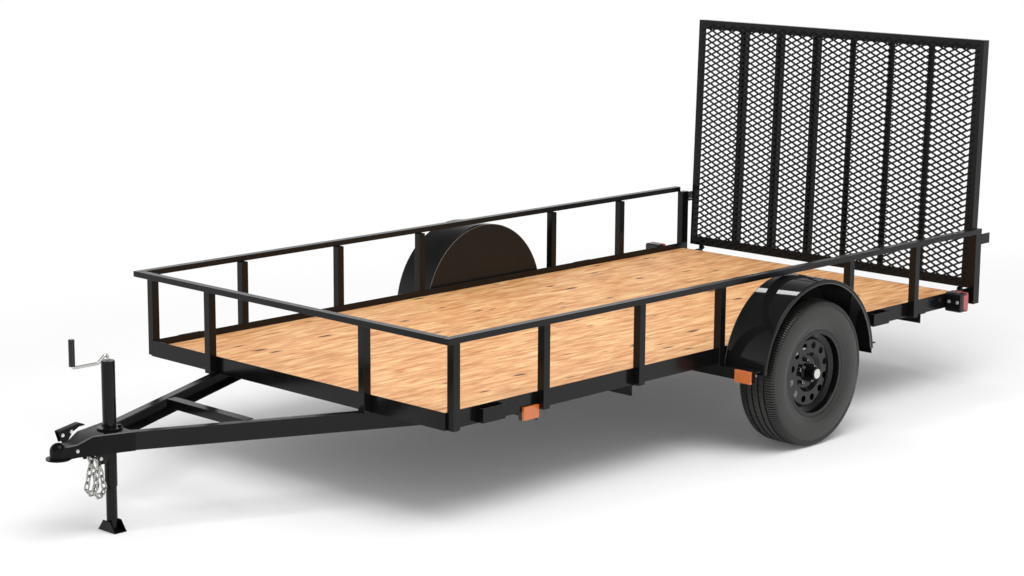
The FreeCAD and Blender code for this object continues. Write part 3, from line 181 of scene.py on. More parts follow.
def patches(tree, places, size_mm, first, second, detail=3.0):
    """Soft patches about that many millimetres across, from the first number or colour to the second."""
    noise = add(tree, "ShaderNodeTexNoise", {"Vector": places, "Scale": 1 / (size_mm * MM),
                                             "Detail": detail})
    return blend(tree, noise, first, second)


def fine_grain(tree, places, size_mm, depth_mm, strength, detail):
    """A bump of soft noise with grains of that size and depth."""
    noise = add(tree, "ShaderNodeTexNoise", {"Vector": places, "Scale": 1 / (size_mm * MM),
                                             "Detail": detail})
    return add(tree, "ShaderNodeBump", {"Strength": strength, "Distance": depth_mm * MM, "Height": noise})


def face_direction(tree):
    """The X, Y and Z of the way that a face looks."""
    normal = add(tree, "ShaderNodeNewGeometry").outputs["True Normal"]
    return add(tree, "ShaderNodeSeparateXYZ", {"Vector": normal}).outputs


print("a pattern of 6 mm has the scale", round(1 / (6 * MM), 1))

# %% [markdown]
# ## Gloss black paint
# The steel is sprayed with a black enamel and left to flow out. It is never quite flat: it carries the
# fine ripple called orange peel, a few millimetres from crest to crest, and the gloss drifts a little
# where the coat is thin. The ripple is a bump of noise at its real size. What makes it read as paint is
# the reflection of the pale surroundings, so the base colour stays close to black. The fender's upright
# sheet is hazier than its round top. Thin grey lines along some edges are painted highlights, in a grey
# enamel of their own.

# %% Paint finishes
PAINT_IOR = 1.47
PAINT_SHINE = 0.24
THIN_PATCH_MM = 210
HAZE_PATCH_MM = 46


def painted(name, colour, thin_colour, gloss, dull, peel_mm, peel_depth_mm, shine=PAINT_SHINE,
            side_haze=0.0):
    """Sprayed enamel: its colour and that of thin patches, its lowest and highest roughness, its orange
    peel, its shine, and how much rougher it is on faces that look sideways."""
    material, tree, places = new_finish(name)
    haze = patches(tree, places, HAZE_PATCH_MM, gloss, dull, detail=5.0)
    if side_haze:
        sideways = add(tree, "ShaderNodeMath", {0: face_direction(tree)["Y"]}, operation="ABSOLUTE")
        haze = add(tree, "ShaderNodeMath", {0: sideways, 1: side_haze, 2: haze}, operation="MULTIPLY_ADD")
    return coat(material, {
        "Base Color": patches(tree, places, THIN_PATCH_MM, colour, thin_colour), "Roughness": haze,
        "Normal": fine_grain(tree, places, peel_mm, peel_depth_mm, strength=0.5, detail=1.0),
        "IOR": PAINT_IOR, "Specular IOR Level": shine})


finishes = {
    "frame_paint": painted("gloss_black_enamel_on_steel", "#0b0b0b", "#131312", 0.12, 0.24, 6, 0.04),
    "rail_paint": painted("gloss_black_enamel_on_rail", "#0d0d0d", "#161615", 0.16, 0.28, 6, 0.04),
    "fender_paint": painted("gloss_black_enamel_on_sheet", "#151515", "#1a1a1a", 0.02, 0.05, 16, 0.01,
                            side_haze=0.3),
    # A grey enamel for thin rods along edges: a painted highlight, not wear.
    "edge_highlight_paint": painted("gloss_black_enamel_worn_thin", "#5a5a58", "#6e6e6c", 0.16, 0.26, 6, 0.02),
    "gate_paint": painted("gloss_black_enamel_on_gate", "#0a0a0a", "#111110", 0.16, 0.28, 6, 0.04),
    "mesh_paint": painted("dipped_black_enamel_on_mesh", "#060606", "#0c0c0c", 0.34, 0.5, 4, 0.05),
    "coupler_paint": painted("gloss_black_powder_coat", "#0b0b0b", "#131313", 0.12, 0.22, 5, 0.05,
                             shine=0.13),
    "jack_paint": painted("gloss_black_enamel_on_tube", "#080808", "#101010", 0.08, 0.16, 5, 0.03),
    "rim_paint": painted("gloss_black_stoved_wheel_enamel", "#0a0a0a", "#121212", 0.05, 0.10, 9, 0.02,
                         shine=0.40),
    "hub_paint": painted("gloss_black_enamel_on_casting", "#080808", "#101010", 0.16, 0.28, 3, 0.08),
    "spring_steel": painted("satin_black_spring_steel", "#121110", "#201d1a", 0.42, 0.62, 4, 0.15),
}
print(len(finishes), "painted finishes")

# %% [markdown]
# ## Rubber, plastic, plating and lens
# Rubber is dark grey, not black, and scatters light. Moulded plastic has a fine leathery grain.
# Zinc plating is a bright metal dulled by tiny crystals. A lens is a clear, strongly coloured plastic
# whose back is pressed into small prisms, so it looks evenly lit from within.

# %% Finishes of the small parts
MOULDED_IOR = 1.5
WEAR_PATCH_MM = 34
SMEAR_PATCH_MM = 22
PRISM_DEPTH_MM = 0.4


def moulded(name, colour, worn_colour, gloss, dull, grain_mm, grain_depth_mm):
    """Moulded rubber or plastic: its colour and worn colour, roughness from gloss to dull, and its grain."""
    material, tree, places = new_finish(name)
    wear = add(tree, "ShaderNodeTexNoise", {"Vector": places, "Scale": 1 / (WEAR_PATCH_MM * MM),
                                            "Detail": 6.0, "Roughness": 0.62})
    return coat(material, {
        "Base Color": blend(tree, wear, colour, worn_colour), "Roughness": blend(tree, wear, gloss, dull),
        "Normal": fine_grain(tree, places, grain_mm, grain_depth_mm, strength=0.6, detail=2.0),
        "IOR": MOULDED_IOR})


def plated(name, colour, dark_colour, gloss, dull, crystal_mm):
    """Plated metal: its bright and dark crystals, and roughness from gloss to dull."""
    material, tree, places = new_finish(name)
    crystals = add(tree, "ShaderNodeTexVoronoi", {"Vector": places, "Scale": 1 / (crystal_mm * MM)})
    shade = add(tree, "ShaderNodeSeparateColor", {"Color": crystals.outputs["Color"]}).outputs["Red"]
    return coat(material, {
        "Base Color": blend(tree, shade, dark_colour, colour), "Metallic": 1.0,
        "Roughness": patches(tree, places, SMEAR_PATCH_MM, gloss, dull, detail=5.0)})


def lens(name, colour, deep_colour, prism_mm):
    """Moulded lens plastic with rows of small prisms behind a smooth face."""
    material, tree, places = new_finish(name)
    cells = add(tree, "ShaderNodeTexVoronoi", {"Vector": places, "Scale": 1 / (prism_mm * MM),
                                               "Randomness": 0.0}, distance="CHEBYCHEV")
    prisms = add(tree, "ShaderNodeBump", {"Strength": 0.35, "Distance": PRISM_DEPTH_MM * MM,
                                          "Height": cells})
    return coat(material, {
        "Base Color": blend(tree, blend(tree, cells, 0.0, 1.4), colour, deep_colour), "Normal": prisms,
        "Roughness": 0.22, "IOR": 1.49, "Coat Weight": 0.6, "Coat Roughness": 0.05})


finishes |= {
    "tyre": moulded("moulded_tyre_rubber", "#1f1f1d", "#292927", 0.34, 0.48, 3, 0.04),
    "grip_plastic": moulded("moulded_black_vinyl_grip", "#0b0b0b", "#141414", 0.38, 0.5, 1.5, 0.05),
    "lamp_plastic": moulded("moulded_black_abs", "#090909", "#111111", 0.16, 0.28, 1.5, 0.03),
    "nut_chrome": plated("black_chrome_plate", "#9c9da0", "#6f7073", 0.07, 0.16, 5),
    "plug_zinc": plated("bright_tinned_steel", "#dededa", "#cdcdc8", 0.26, 0.4, 4),
    "zinc": plated("bright_zinc_plate", "#cfcfca", "#8b8c8a", 0.14, 0.28, 3),
    "bright_zinc": plated("fresh_zinc_plate", "#f2f2ee", "#dcdcd8", 0.4, 0.55, 3),
    "amber_lens": lens("moulded_amber_acrylic", "#e07c38", "#c45f22", 4),
    "red_lens": lens("moulded_red_acrylic", "#c04a4c", "#9c2a30", 4),
}
print(sorted(finishes))

# %% [markdown]
# ## Pine planks
# The deck is kiln-dried pine, sawn along the grain. The eye looks for four things: long flame-shaped
# bands of early and late wood, fine dark fibres between them, a few knots drawn out along the grain, and
# planks that differ a little from each other. Bands and fibres are noise stretched along the plank, at
# the real widths, and knots are dark cells stretched the same way. Each plank is shifted to its own part
# of the pattern by its number. Faces that look down are painted a dark grey, a painted shade, so that the
# underside throws no brown light on the floor.

# %% Set the planks apart and give them knots
DECK_PLANKS = 12
PLANK_SHIFT = 7.0
KNOT_STRETCH = 3.4
KNOT_CELL_MM = 125
KNOT_REACH = 0.10
KNOT_SWAY = 0.03


def planks_apart(tree, places, stretch):
    """Places drawn out along the grain and shifted by a chance number for each plank, and that number."""
    low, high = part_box("deck_planks")
    axes = add(tree, "ShaderNodeSeparateXYZ", {"Vector": places}).outputs
    across = add(tree, "ShaderNodeMath", {0: axes["Y"], 1: low.y}, operation="SUBTRACT")
    number = add(tree, "ShaderNodeMath", {0: across, 1: (high.y - low.y) / DECK_PLANKS},
                 operation="DIVIDE")
    whole = add(tree, "ShaderNodeMath", {0: number}, operation="FLOOR")
    chance = add(tree, "ShaderNodeTexWhiteNoise", {"W": whole}, noise_dimensions="1D")
    shift = add(tree, "ShaderNodeMath", {0: chance, 1: PLANK_SHIFT}, operation="MULTIPLY")
    along = add(tree, "ShaderNodeMath", {0: axes["X"], 1: 1 / stretch, 2: shift},
                operation="MULTIPLY_ADD")
    return add(tree, "ShaderNodeCombineXYZ", {"X": along, "Y": axes["Y"], "Z": axes["Z"]}), chance


def knots(tree, places, sway):
    """How dark a knot is at a place: about half of the cells have one, and each has its own reach."""
    spots = planks_apart(tree, places, KNOT_STRETCH)[0]
    cells = add(tree, "ShaderNodeTexVoronoi", {"Vector": spots, "Scale": 1 / (KNOT_CELL_MM * MM)},
                voronoi_dimensions="2D").outputs
    chance = add(tree, "ShaderNodeSeparateColor", {"Color": cells["Color"]}).outputs["Red"]
    reach = blend(tree, chance, 0.0, KNOT_REACH, start=0.35)
    edge = blend(tree, sway, -KNOT_SWAY, KNOT_SWAY, start=0.3, end=0.7)
    rough = add(tree, "ShaderNodeMath", {0: cells["Distance"], 1: edge}, operation="ADD")
    inside = add(tree, "ShaderNodeMath", {0: reach, 1: rough}, operation="SUBTRACT")
    return blend(tree, inside, 0.0, 1.0, start=-0.03, end=0.045)


print(DECK_PLANKS, "planks, with cells of", KNOT_CELL_MM, "mm for their knots")

# %% The deck's pine
GRAIN_STRETCH = 6.4
BAND_MM = 27
SWAY_MM = 12
FIBRE_MM = 6
FIBRE_DEPTH_MM = 0.3
LATE_WOOD = "#a9642c"
KNOT_WOOD = "#421a04"
# The grey of faces that look down: a painted shade.
UNDERSIDE_PAINTED_SHADE = "#4c4a48"
pine_tones = [(0.32, "#cd8850"), (0.43, "#e4a269"), (0.54, "#f1b67b"), (0.66, "#fed094")]


def pine(name):
    """Sawn pine, its grain along X, with one pattern for each plank of the deck."""
    material, tree, places = new_finish(name)
    grain, chance = planks_apart(tree, places, GRAIN_STRETCH)
    sway = add(tree, "ShaderNodeTexNoise", {"Vector": grain, "Scale": 1 / (SWAY_MM * MM)})
    bands = add(tree, "ShaderNodeTexNoise", {"Vector": grain, "Scale": 1 / (BAND_MM * MM), "Detail": 3.0,
                                             "Roughness": 0.52, "Distortion": 0.6})
    fibres = add(tree, "ShaderNodeTexNoise", {"Vector": grain, "Scale": 1 / (FIBRE_MM * MM), "Detail": 3.0,
                                              "Roughness": 0.7})
    tones = add(tree, "ShaderNodeValToRGB", {"Fac": bands})
    stops = tones.color_ramp.elements
    stops.remove(stops[1])
    for position, tone in pine_tones:
        stops.new(position).color = linear(tone)
    stops.remove(stops[0])
    wood = blend(tree, blend(tree, fibres, 0.0, 0.5, start=0.57, end=0.74), tones, LATE_WOOD)
    wood = add(tree, "ShaderNodeHueSaturation", {"Color": wood, "Value": blend(tree, chance, 0.96, 1.03)})
    wood = blend(tree, knots(tree, places, sway), wood, KNOT_WOOD)
    # Faces that look down are painted grey: a painted shade, which keeps brown bounce light off the floor.
    below = blend(tree, face_direction(tree)["Z"], 1.0, 0.0, start=-0.9, end=-0.5)
    return coat(material, {
        "Base Color": blend(tree, below, wood, UNDERSIDE_PAINTED_SHADE), "Roughness": blend(tree, fibres, 0.42, 0.6),
        "Normal": add(tree, "ShaderNodeBump", {"Strength": 0.5, "Distance": FIBRE_DEPTH_MM * MM,
                                               "Height": fibres})})


finishes["deck_wood"] = pine("sawn_pine_planks")
print("slots without a finish:", sorted(set(slot_of.values()) - set(finishes)))

# %% [markdown]
# ## Steel with rounded edges
# No steel section has a knife edge: an angle iron is rolled with a radius of a millimetre or two, a square
# tube with three or four. Such an edge catches a thin line of light, and without it steel looks like
# card. So each node's mesh is copied, its loose triangles are joined, and its sharp edges are bevelled
# by a radius near the real one. The moulded lamps are rounded the same way, by more.

# %% Make a piece and give it its body and finish
WELD = 0.01 * MM
FLAT = math.radians(0.4)
SHARP = math.radians(34)


def stand_for(piece, *names):
    """The piece rides on the first node's body and hides the nodes that it stands for."""
    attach(piece, body_of[names[0]])
    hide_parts(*names)
    return piece


def ride_with(piece, carrier):
    """The piece rides on the carrier's body, and hides nothing."""
    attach(piece, body_of[carrier])
    return piece


def joined(node):
    """A node's mesh as a bmesh whose flat faces are whole again."""
    form = bmesh.new()
    form.from_mesh(nodes[node].data)
    bmesh.ops.remove_doubles(form, verts=form.verts, dist=WELD)
    bmesh.ops.dissolve_limit(form, angle_limit=FLAT, verts=form.verts, edges=form.edges)
    return form


def mesh_of(name, form):
    """The bmesh as a mesh."""
    mesh = bpy.data.meshes.new(name)
    form.to_mesh(mesh)
    form.free()
    return mesh


def plain_mesh(item):
    """The mesh of an object as its modifiers leave it."""
    return bpy.data.meshes.new_from_object(item.evaluated_get(bpy.context.evaluated_depsgraph_get()))


def round_edges(form, edges, radius_mm, steps=2, clamp=True):
    """Bevel these edges of the bmesh to a round of that radius."""
    bmesh.ops.bevel(form, geom=edges, offset=radius_mm * MM, segments=steps, profile=0.5, affect="EDGES",
                    clamp_overlap=clamp)


def finished_piece(name, form, slot, smooth_angle=SHARP):
    """The bmesh as a new object with the slot's finish, shaded smooth up to that angle."""
    mesh = mesh_of(name, form)
    mesh.materials.append(finishes[slot])
    mesh.shade_smooth()
    mesh.set_sharp_from_angle(angle=smooth_angle)
    piece = placed(name, mesh)
    level = piece.modifiers.new("level_faces", "WEIGHTED_NORMAL")
    level.keep_sharp = True
    level.weight = 100
    piece.data = plain_mesh(piece)
    piece.modifiers.remove(level)
    return piece


print("an edge is sharp from", round(math.degrees(SHARP)), "degrees")

# %% Round the steel's edges
def rounded_steel(node, radius_mm, steps=2):
    """A copy of a node with its sharp edges rounded by that radius."""
    form = joined(node)
    sharp = [edge for edge in form.edges if edge.is_manifold and edge.calc_face_angle() > SHARP]
    round_edges(form, sharp, radius_mm, steps)
    return stand_for(finished_piece(node + "_steel", form, slot_of[node]), node)


edge_radii_mm = {
    "frame_side_left": 1.5, "frame_side_right": 1.5, "frame_front": 1.5, "frame_rear": 1.5,
    "cross_members": 1.5, "posts_left": 2.0, "posts_right": 2.0, "posts_front": 2.0, "rail_left": 2.0,
    "rail_right": 2.0, "rail_front": 2.0, "stake_pockets": 1.5, "tongue_left": 2.0, "tongue_right": 2.0,
    "tongue_brace": 1.5, "gate_frame": 1.5, "gate_bars": 1.2, "latch_brackets": 1.5, "hinge_lugs": 1.0,
    "gate_hinge_pins": 0.8, "latch_bolts": 1.0, "chain_bracket": 1.0, "spring_hangers": 1.0,
    "spring_left": 1.0, "spring_right": 1.0, "axle": 1.0, "jack_tube": 1.2, "jack_leg": 0.8,
    "jack_foot": 1.0, "coupler": 1.0, "marker_bases": 1.5, "marker_lenses": 2.5,
    "tail_lamp_housings": 9.0, "tail_lamp_lenses": 5.0,
}
for node, radius in edge_radii_mm.items():
    print(node, radius, len(rounded_steel(node, radius).data.polygons), "faces")

# %% [markdown]
# ## Geometry Nodes, three helpers
# Tread blocks, nuts, bolts, chain links and expanded mesh all repeat, and bent rods follow a route. Such
# things are made once and laid out by a rule, which is what Geometry Nodes are for. Each tree below takes a
# mesh and a few named sizes, makes its copies real, and gives them one finish. The result is then taken as
# a plain mesh, so nothing live is left on the piece.

# %% Open, close and run a tree
SOCKET_KINDS = {float: "NodeSocketFloat", int: "NodeSocketInt", str: "NodeSocketObject"}


def new_tree(name, **kinds):
    """A tree that takes a mesh, an input of the given kind for each name, and a finish: it and its inputs."""
    tree = bpy.data.node_groups.new(name, "GeometryNodeTree")
    tree.interface.new_socket("Geometry", in_out="INPUT", socket_type="NodeSocketGeometry")
    tree.interface.new_socket("Geometry", in_out="OUTPUT", socket_type="NodeSocketGeometry")
    for size, kind in kinds.items():
        tree.interface.new_socket(size, in_out="INPUT", socket_type=SOCKET_KINDS[kind])
    tree.interface.new_socket("Finish", in_out="INPUT", socket_type="NodeSocketMaterial")
    return tree, add(tree, "NodeGroupInput").outputs


def close_tree(tree, given, copies):
    """Make the copies real, give them the finish and send them out."""
    real = add(tree, "GeometryNodeRealizeInstances", {"Geometry": copies})
    coated = add(tree, "GeometryNodeSetMaterial", {"Geometry": real, "Material": given["Finish"]})
    add(tree, "NodeGroupOutput", {"Geometry": coated})
    return tree


def grown(tree, start, slot, **sizes):
    """The plain mesh that the tree makes from a starting mesh, with the slot's finish and these sizes."""
    host = placed(tree.name + "_host", start)
    growth = host.modifiers.new("growth", "NODES")
    growth.node_group = tree
    values = dict(sizes, Finish=finishes[slot])
    for socket in tree.interface.items_tree:
        if socket.in_out == "INPUT" and socket.name in values:
            growth[socket.identifier] = values[socket.name]
    mesh = plain_mesh(host)
    host.modifiers.remove(growth)
    bpy.data.objects.remove(host)
    return mesh


def merged(*meshes):
    """Several meshes as one bmesh, its doubles merged and its faces turned outwards."""
    form = bmesh.new()
    for mesh in meshes:
        form.from_mesh(mesh)
    bmesh.ops.remove_doubles(form, verts=form.verts, dist=WELD)
    bmesh.ops.recalc_face_normals(form, faces=form.faces)
    return form


def route_mesh(name, points_mm):
    """Points in millimetres joined by edges, as the route that a rod follows."""
    mesh = bpy.data.meshes.new(name)
    mesh.from_pydata([Vector(point) * MM for point in points_mm],
                     [(index, index + 1) for index in range(len(points_mm) - 1)], [])
    return mesh


def spots_mesh(name, spots):
    """Loose points, each with its turn, from pairs of a place in metres and the turn of its copy."""
    mesh = bpy.data.meshes.new(name)
    mesh.from_pydata([place for place, turn in spots], [], [])
    turns = mesh.attributes.new("turn", "FLOAT_VECTOR", "POINT")
    for index, (place, turn) in enumerate(spots):
        turns.data[index].vector = turn.to_euler()
    return mesh


print("kinds of input:", sorted(SOCKET_KINDS.values()))

# %% Grow copies round an axle, on spots, and rods along routes
def ring_tree():
    """Copies of the mesh round the Y axis, evenly spaced."""
    tree, given = new_tree("copies_round_an_axle", Count=int)
    points = add(tree, "GeometryNodePoints", {"Count": given["Count"]})
    share = add(tree, "ShaderNodeMath", {0: add(tree, "GeometryNodeInputIndex"), 1: given["Count"]},
                operation="DIVIDE")
    angle = add(tree, "ShaderNodeMath", {0: share, 1: 2 * math.pi}, operation="MULTIPLY")
    turn = add(tree, "ShaderNodeCombineXYZ", {"Y": angle})
    return close_tree(tree, given, add(tree, "GeometryNodeInstanceOnPoints", {
        "Points": points, "Instance": given["Geometry"], "Rotation": turn}))


def spots_tree():
    """Copies of another object on the mesh's points, each turned by the point's own turn."""
    tree, given = new_tree("copies_on_spots", Piece=str)
    turn = add(tree, "GeometryNodeInputNamedAttribute", {"Name": "turn"}, data_type="FLOAT_VECTOR")
    piece = add(tree, "GeometryNodeObjectInfo", {"As Instance": True, "Object": given["Piece"]})
    return close_tree(tree, given, add(tree, "GeometryNodeInstanceOnPoints", {
        "Points": given["Geometry"], "Instance": piece.outputs["Geometry"], "Rotation": turn}))


def swept_rod(tree, given, curve, bend_steps, sides):
    """Close the tree with a round rod along the curve, bent at each corner."""
    bent = add(tree, "GeometryNodeFilletCurve", {"Curve": curve, "Count": bend_steps,
                                                 "Radius": given["Bend"]}, mode="POLY")
    section = add(tree, "GeometryNodeCurvePrimitiveCircle", {"Resolution": sides, "Radius": given["Rod"]})
    return close_tree(tree, given, add(tree, "GeometryNodeCurveToMesh", {
        "Curve": bent, "Profile Curve": section, "Fill Caps": True}))


def rod_tree():
    """A rod along the mesh's edges."""
    tree, given = new_tree("rod_along_route", Bend=float, Rod=float)
    route = add(tree, "GeometryNodeMeshToCurve", {"Mesh": given["Geometry"]})
    return swept_rod(tree, given, route, bend_steps=10, sides=16)


round_axle, on_spots, along_route = ring_tree(), spots_tree(), rod_tree()


def copies_of(form_mesh, name, slot, spots):
    """The mesh of copies of one small form at the spots."""
    sample = placed(name + "_sample", form_mesh)
    mesh = grown(on_spots, spots_mesh(name + "_spots", spots), slot, Piece=sample)
    bpy.data.objects.remove(sample)
    return mesh


def bent_rods(name, slot, bend_mm, rod_mm, *routes_mm):
    """The meshes of rods along the given routes."""
    return [grown(along_route, route_mesh(name, route), slot, Bend=bend_mm * MM, Rod=rod_mm * MM)
            for route in routes_mm]


print("trees:", round_axle.name, on_spots.name, along_route.name)

# %% [markdown]
# ## Turned forms and bolt heads
# A tyre and a rubber grip are lathe forms: an outline turned round an axis. A bolt head is nearly one
# too, but each of its rings is a hexagon trimmed by a circle, which gives the curved chamfers that a real
# head has where its corners were turned off.

# %% Turn outlines and make bolt heads
HEAD_SIDES = 24
WASHER_SHARE = 0.14
WASHER_EDGE = 0.2
CHAMFER_START = 0.8
CHAMFER_SHARE = 0.86


def on_circle(radius, turn, along=0.0):
    """A place on a circle round the Y axis."""
    return Vector((radius * math.cos(turn), along, radius * math.sin(turn)))


def skin(form, near, far, closed=True):
    """Four-sided faces between two rows of corners."""
    for index in range(len(near) if closed else len(near) - 1):
        past = (index + 1) % len(near)
        form.faces.new((near[index], near[past], far[past], far[index]))


def turned_form(outline_mm, steps):
    """A closed outline of (along Y, radius) pairs turned round the Y axis."""
    form = bmesh.new()
    rings = [[form.verts.new(on_circle(radius, 2 * math.pi * step / steps, along) * MM)
              for along, radius in outline_mm] for step in range(steps)]
    for ring, following in zip(rings, rings[1:] + rings[:1]):
        skin(form, ring, following)
    bmesh.ops.remove_doubles(form, verts=form.verts, dist=WELD)
    bmesh.ops.recalc_face_normals(form, faces=form.faces)
    return form


def bolt_mesh(name, rings_mm):
    """A closed bolt head along Z from rings of (height, hexagon corner radius or None, circle radius)."""
    form = bmesh.new()
    rings = []
    for height, corner, circle in rings_mm:
        ring = []
        for side in range(HEAD_SIDES):
            turn = 2 * math.pi * side / HEAD_SIDES
            flat = math.cos(math.pi / 6) / math.cos(turn % (math.pi / 3) - math.pi / 6)
            reach = circle if corner is None else min(circle, corner * flat)
            ring.append(form.verts.new(Vector((reach * math.cos(turn), reach * math.sin(turn), height)) * MM))
        rings.append(ring)
    for ring, following in zip(rings, rings[1:]):
        skin(form, ring, following)
    form.faces.new(list(reversed(rings[0])))
    form.faces.new(rings[-1])
    return mesh_of(name, form)


def hex_head(name, corner_mm, tall_mm, washer_mm):
    """A hexagon bolt head on its washer."""
    thick = washer_mm * WASHER_SHARE
    return bolt_mesh(name, [
        (0, None, washer_mm), (thick * (1 - WASHER_EDGE), None, washer_mm),
        (thick, None, washer_mm - thick * WASHER_EDGE),
        (thick, corner_mm, corner_mm), (thick + tall_mm * CHAMFER_START, corner_mm, corner_mm),
        (thick + tall_mm, corner_mm, corner_mm * CHAMFER_SHARE)])


def facing(x, y, z):
    """The turn that points a copy's Z axis along a direction."""
    return Vector((x, y, z)).to_track_quat("Z", "Y")


print("bolt heads have", HEAD_SIDES, "sides")

# %% [markdown]
# ## Tyres
# A trailer tyre has straight ribs, parted by deep grooves, so that it tracks well. At its shoulders the
# ribs break up into short teeth that wrap down to the sidewall. The carcass is one turned outline with its
# bead, its rubbing strip and a thin ring where the mould's halves meet. Each kind of tread block is made
# once and copied round the axle, because a groove that light falls into can't be faked by bump.

# %% Draw the carcass and a tread block
CROWN_RADIUS = 343.8
CROWN_DROP = 5.6
CROWN_HALF = 94.0
BLOCK_DEPTH = 7.6
carcass_half_mm = [
    (0, 336.5), (60, 336), (84, 333), (92, 328), (96.2, 319), (97.6, 313), (99.4, 308), (100.6, 300),
    (101.6, 290), (102.3, 274), (102.0, 262), (101.0, 252), (99.4, 243), (97.4, 235), (96.4, 232.6),
    (97.0, 230.4), (94.8, 226.6), (91.6, 219), (89.6, 214.6), (88.9, 211.4), (86.2, 208), (84.6, 205.2),
    (79.7, 204.6), (79.7, 191), (66, 190.8)]
lining_half_mm = [(60, 200), (85, 240), (92, 270), (84, 315), (0, 327)]
half_mm = carcass_half_mm + lining_half_mm
carcass_mm = half_mm + [(-along, radius) for along, radius in half_mm[-2:0:-1]]


def crown(along):
    """The tread's radius at a distance from the tyre's middle."""
    return CROWN_RADIUS - CROWN_DROP * abs(along / CROWN_HALF) ** 4


def rib(*alongs):
    """Outer points of a rib: along, radius, and how far inwards and down each falls to the groove."""
    return [(along, crown(along), 0, 1) for along in alongs]


def tread_mesh(name, outer_mm, length_mm, skew_mm):
    """One tread block: its outer points, its length round the tyre and its skew."""
    form = bmesh.new()
    rows = []
    first, last = outer_mm[0][0], outer_mm[-1][0]
    for end in (-0.5, 0.5):
        for depth in (0, BLOCK_DEPTH):
            rows.append([form.verts.new(Vector((
                end * length_mm + skew_mm * (along - first) / (last - first), along - depth * inward,
                radius - depth * down)) * MM) for along, radius, inward, down in outer_mm])
    top_near, root_near, top_far, root_far = rows
    for near, far in ((top_near, top_far), (top_far, root_far), (root_far, root_near),
                      (root_near, top_near)):
        skin(form, near, far, closed=False)
    for index in (0, -1):
        form.faces.new((top_near[index], top_far[index], root_far[index], root_near[index]))
    bmesh.ops.recalc_face_normals(form, faces=form.faces)
    return mesh_of(name, form)


print("tread", round(2 * CROWN_RADIUS, 1), "mm across, carcass outline of", len(carcass_mm), "points")

# %% Build both tyres
SIDES = {"left": 1, "right": -1}
RIB_PITCHES = 77
RIB_GAP = 1.6
SHOULDER_TEETH = 168
TOOTH_SHARE = 0.62
CARCASS_STEPS = 144
TYRE_SMOOTH = math.radians(32)
shoulder_mm = rib(55, 68) + [
    (80, crown(80), 0.1, 1), (89, 338.6, 0.5, 0.9), (94.6, 334.6, 0.8, 0.7), (97.6, 328, 1, 0.4),
    (98.9, 320, 1, 0.1), (98.2, 314, 1, 0)]
inner_shoulder_mm = [(-along, radius, -inward, down) for along, radius, inward, down in shoulder_mm]
around_mm = 2 * math.pi * CROWN_RADIUS
rib_mm = around_mm / RIB_PITCHES - RIB_GAP
tooth_mm = around_mm / SHOULDER_TEETH * TOOTH_SHARE
tread_kinds = [
    ("centre", rib(-13, -5, 5, 13), rib_mm, 7, RIB_PITCHES),
    ("outer_rib", rib(23, 34, 45), rib_mm, 9, RIB_PITCHES),
    ("inner_rib", rib(-45, -34, -23), rib_mm, 9, RIB_PITCHES),
    ("outer_teeth", shoulder_mm, tooth_mm, 0, SHOULDER_TEETH),
    ("inner_teeth", inner_shoulder_mm, tooth_mm, 0, SHOULDER_TEETH)]


def tyre(side):
    """The tyre on one side: its carcass and all its tread."""
    form = turned_form(carcass_mm, CARCASS_STEPS)
    for kind, outer_mm, length_mm, skew_mm, count in tread_kinds:
        form.from_mesh(grown(round_axle, tread_mesh(kind, outer_mm, length_mm, skew_mm), "tyre", Count=count))
    bmesh.ops.translate(form, verts=form.verts, vec=joint_place[f"wheel_{side}_spin"])
    return stand_for(finished_piece(f"tyre_{side}_moulded", form, "tyre", TYRE_SMOOTH), f"tyre_{side}")


for side in SIDES:
    print("tyre", side, len(tyre(side).data.polygons), "faces")

# %% [markdown]
# ## Wheels
# The wheel is pressed steel: its edges are rolled round, and its vents are punched, which turns their rims
# in a little. The nuts are domed and chromed black, and each shows a bright point of light. So the rim's
# sharp edges are rounded, and one nut is made ring by ring and copied on the five studs.

# %% Round the rims and screw on the nuts
STUD_COUNT = 5
STUD_CIRCLE = 57.15
STUD_START = 0.25
NUT_SEAT = 29.0
NUT_SMOOTH = math.radians(24)
WHEEL_EDGE_STEPS = 3
nut_sample = bolt_mesh("domed_nut", [
    (0, None, 10.4), (1.6, None, 10.8), (1.8, 11, 10.9), (12.0, 11, 11), (13.6, 11, 10.5), (15.4, None, 9.2),
    (17.4, None, 7.6), (19.0, None, 5.0), (19.8, None, 2.2)])
for side, outward in SIDES.items():
    turns = [2 * math.pi * (index + STUD_START) / STUD_COUNT for index in range(STUD_COUNT)]
    spots = [(joint_place[f"wheel_{side}_spin"] + on_circle(STUD_CIRCLE, turn, NUT_SEAT * outward) * MM,
              facing(0, outward, 0)) for turn in turns]
    nuts = merged(copies_of(nut_sample, "nuts_" + side, "nut_chrome", spots))
    stand_for(finished_piece(f"lug_nuts_{side}_domed", nuts, "nut_chrome", NUT_SMOOTH), f"lug_nuts_{side}")
    for node, radius in ((f"rim_{side}", 1.4), (f"hub_{side}", 1.6), (f"hub_plug_{side}", 1.2)):
        print(node, len(rounded_steel(node, radius, WHEEL_EDGE_STEPS).data.polygons), "faces")

# %% [markdown]
# ## Expanded mesh on the gate
# Expanded mesh isn't woven: a sheet is slit and pulled open, so every strand is a flat ribbon that stands
# at a slant, and strands meet in short level bonds. One strand is a zigzag line with its flat bonds. Each
# next one is the same line, moved up by a row and along by half a diamond. Bars of light then fall across
# the slanted ribbons as they do on the real mesh.

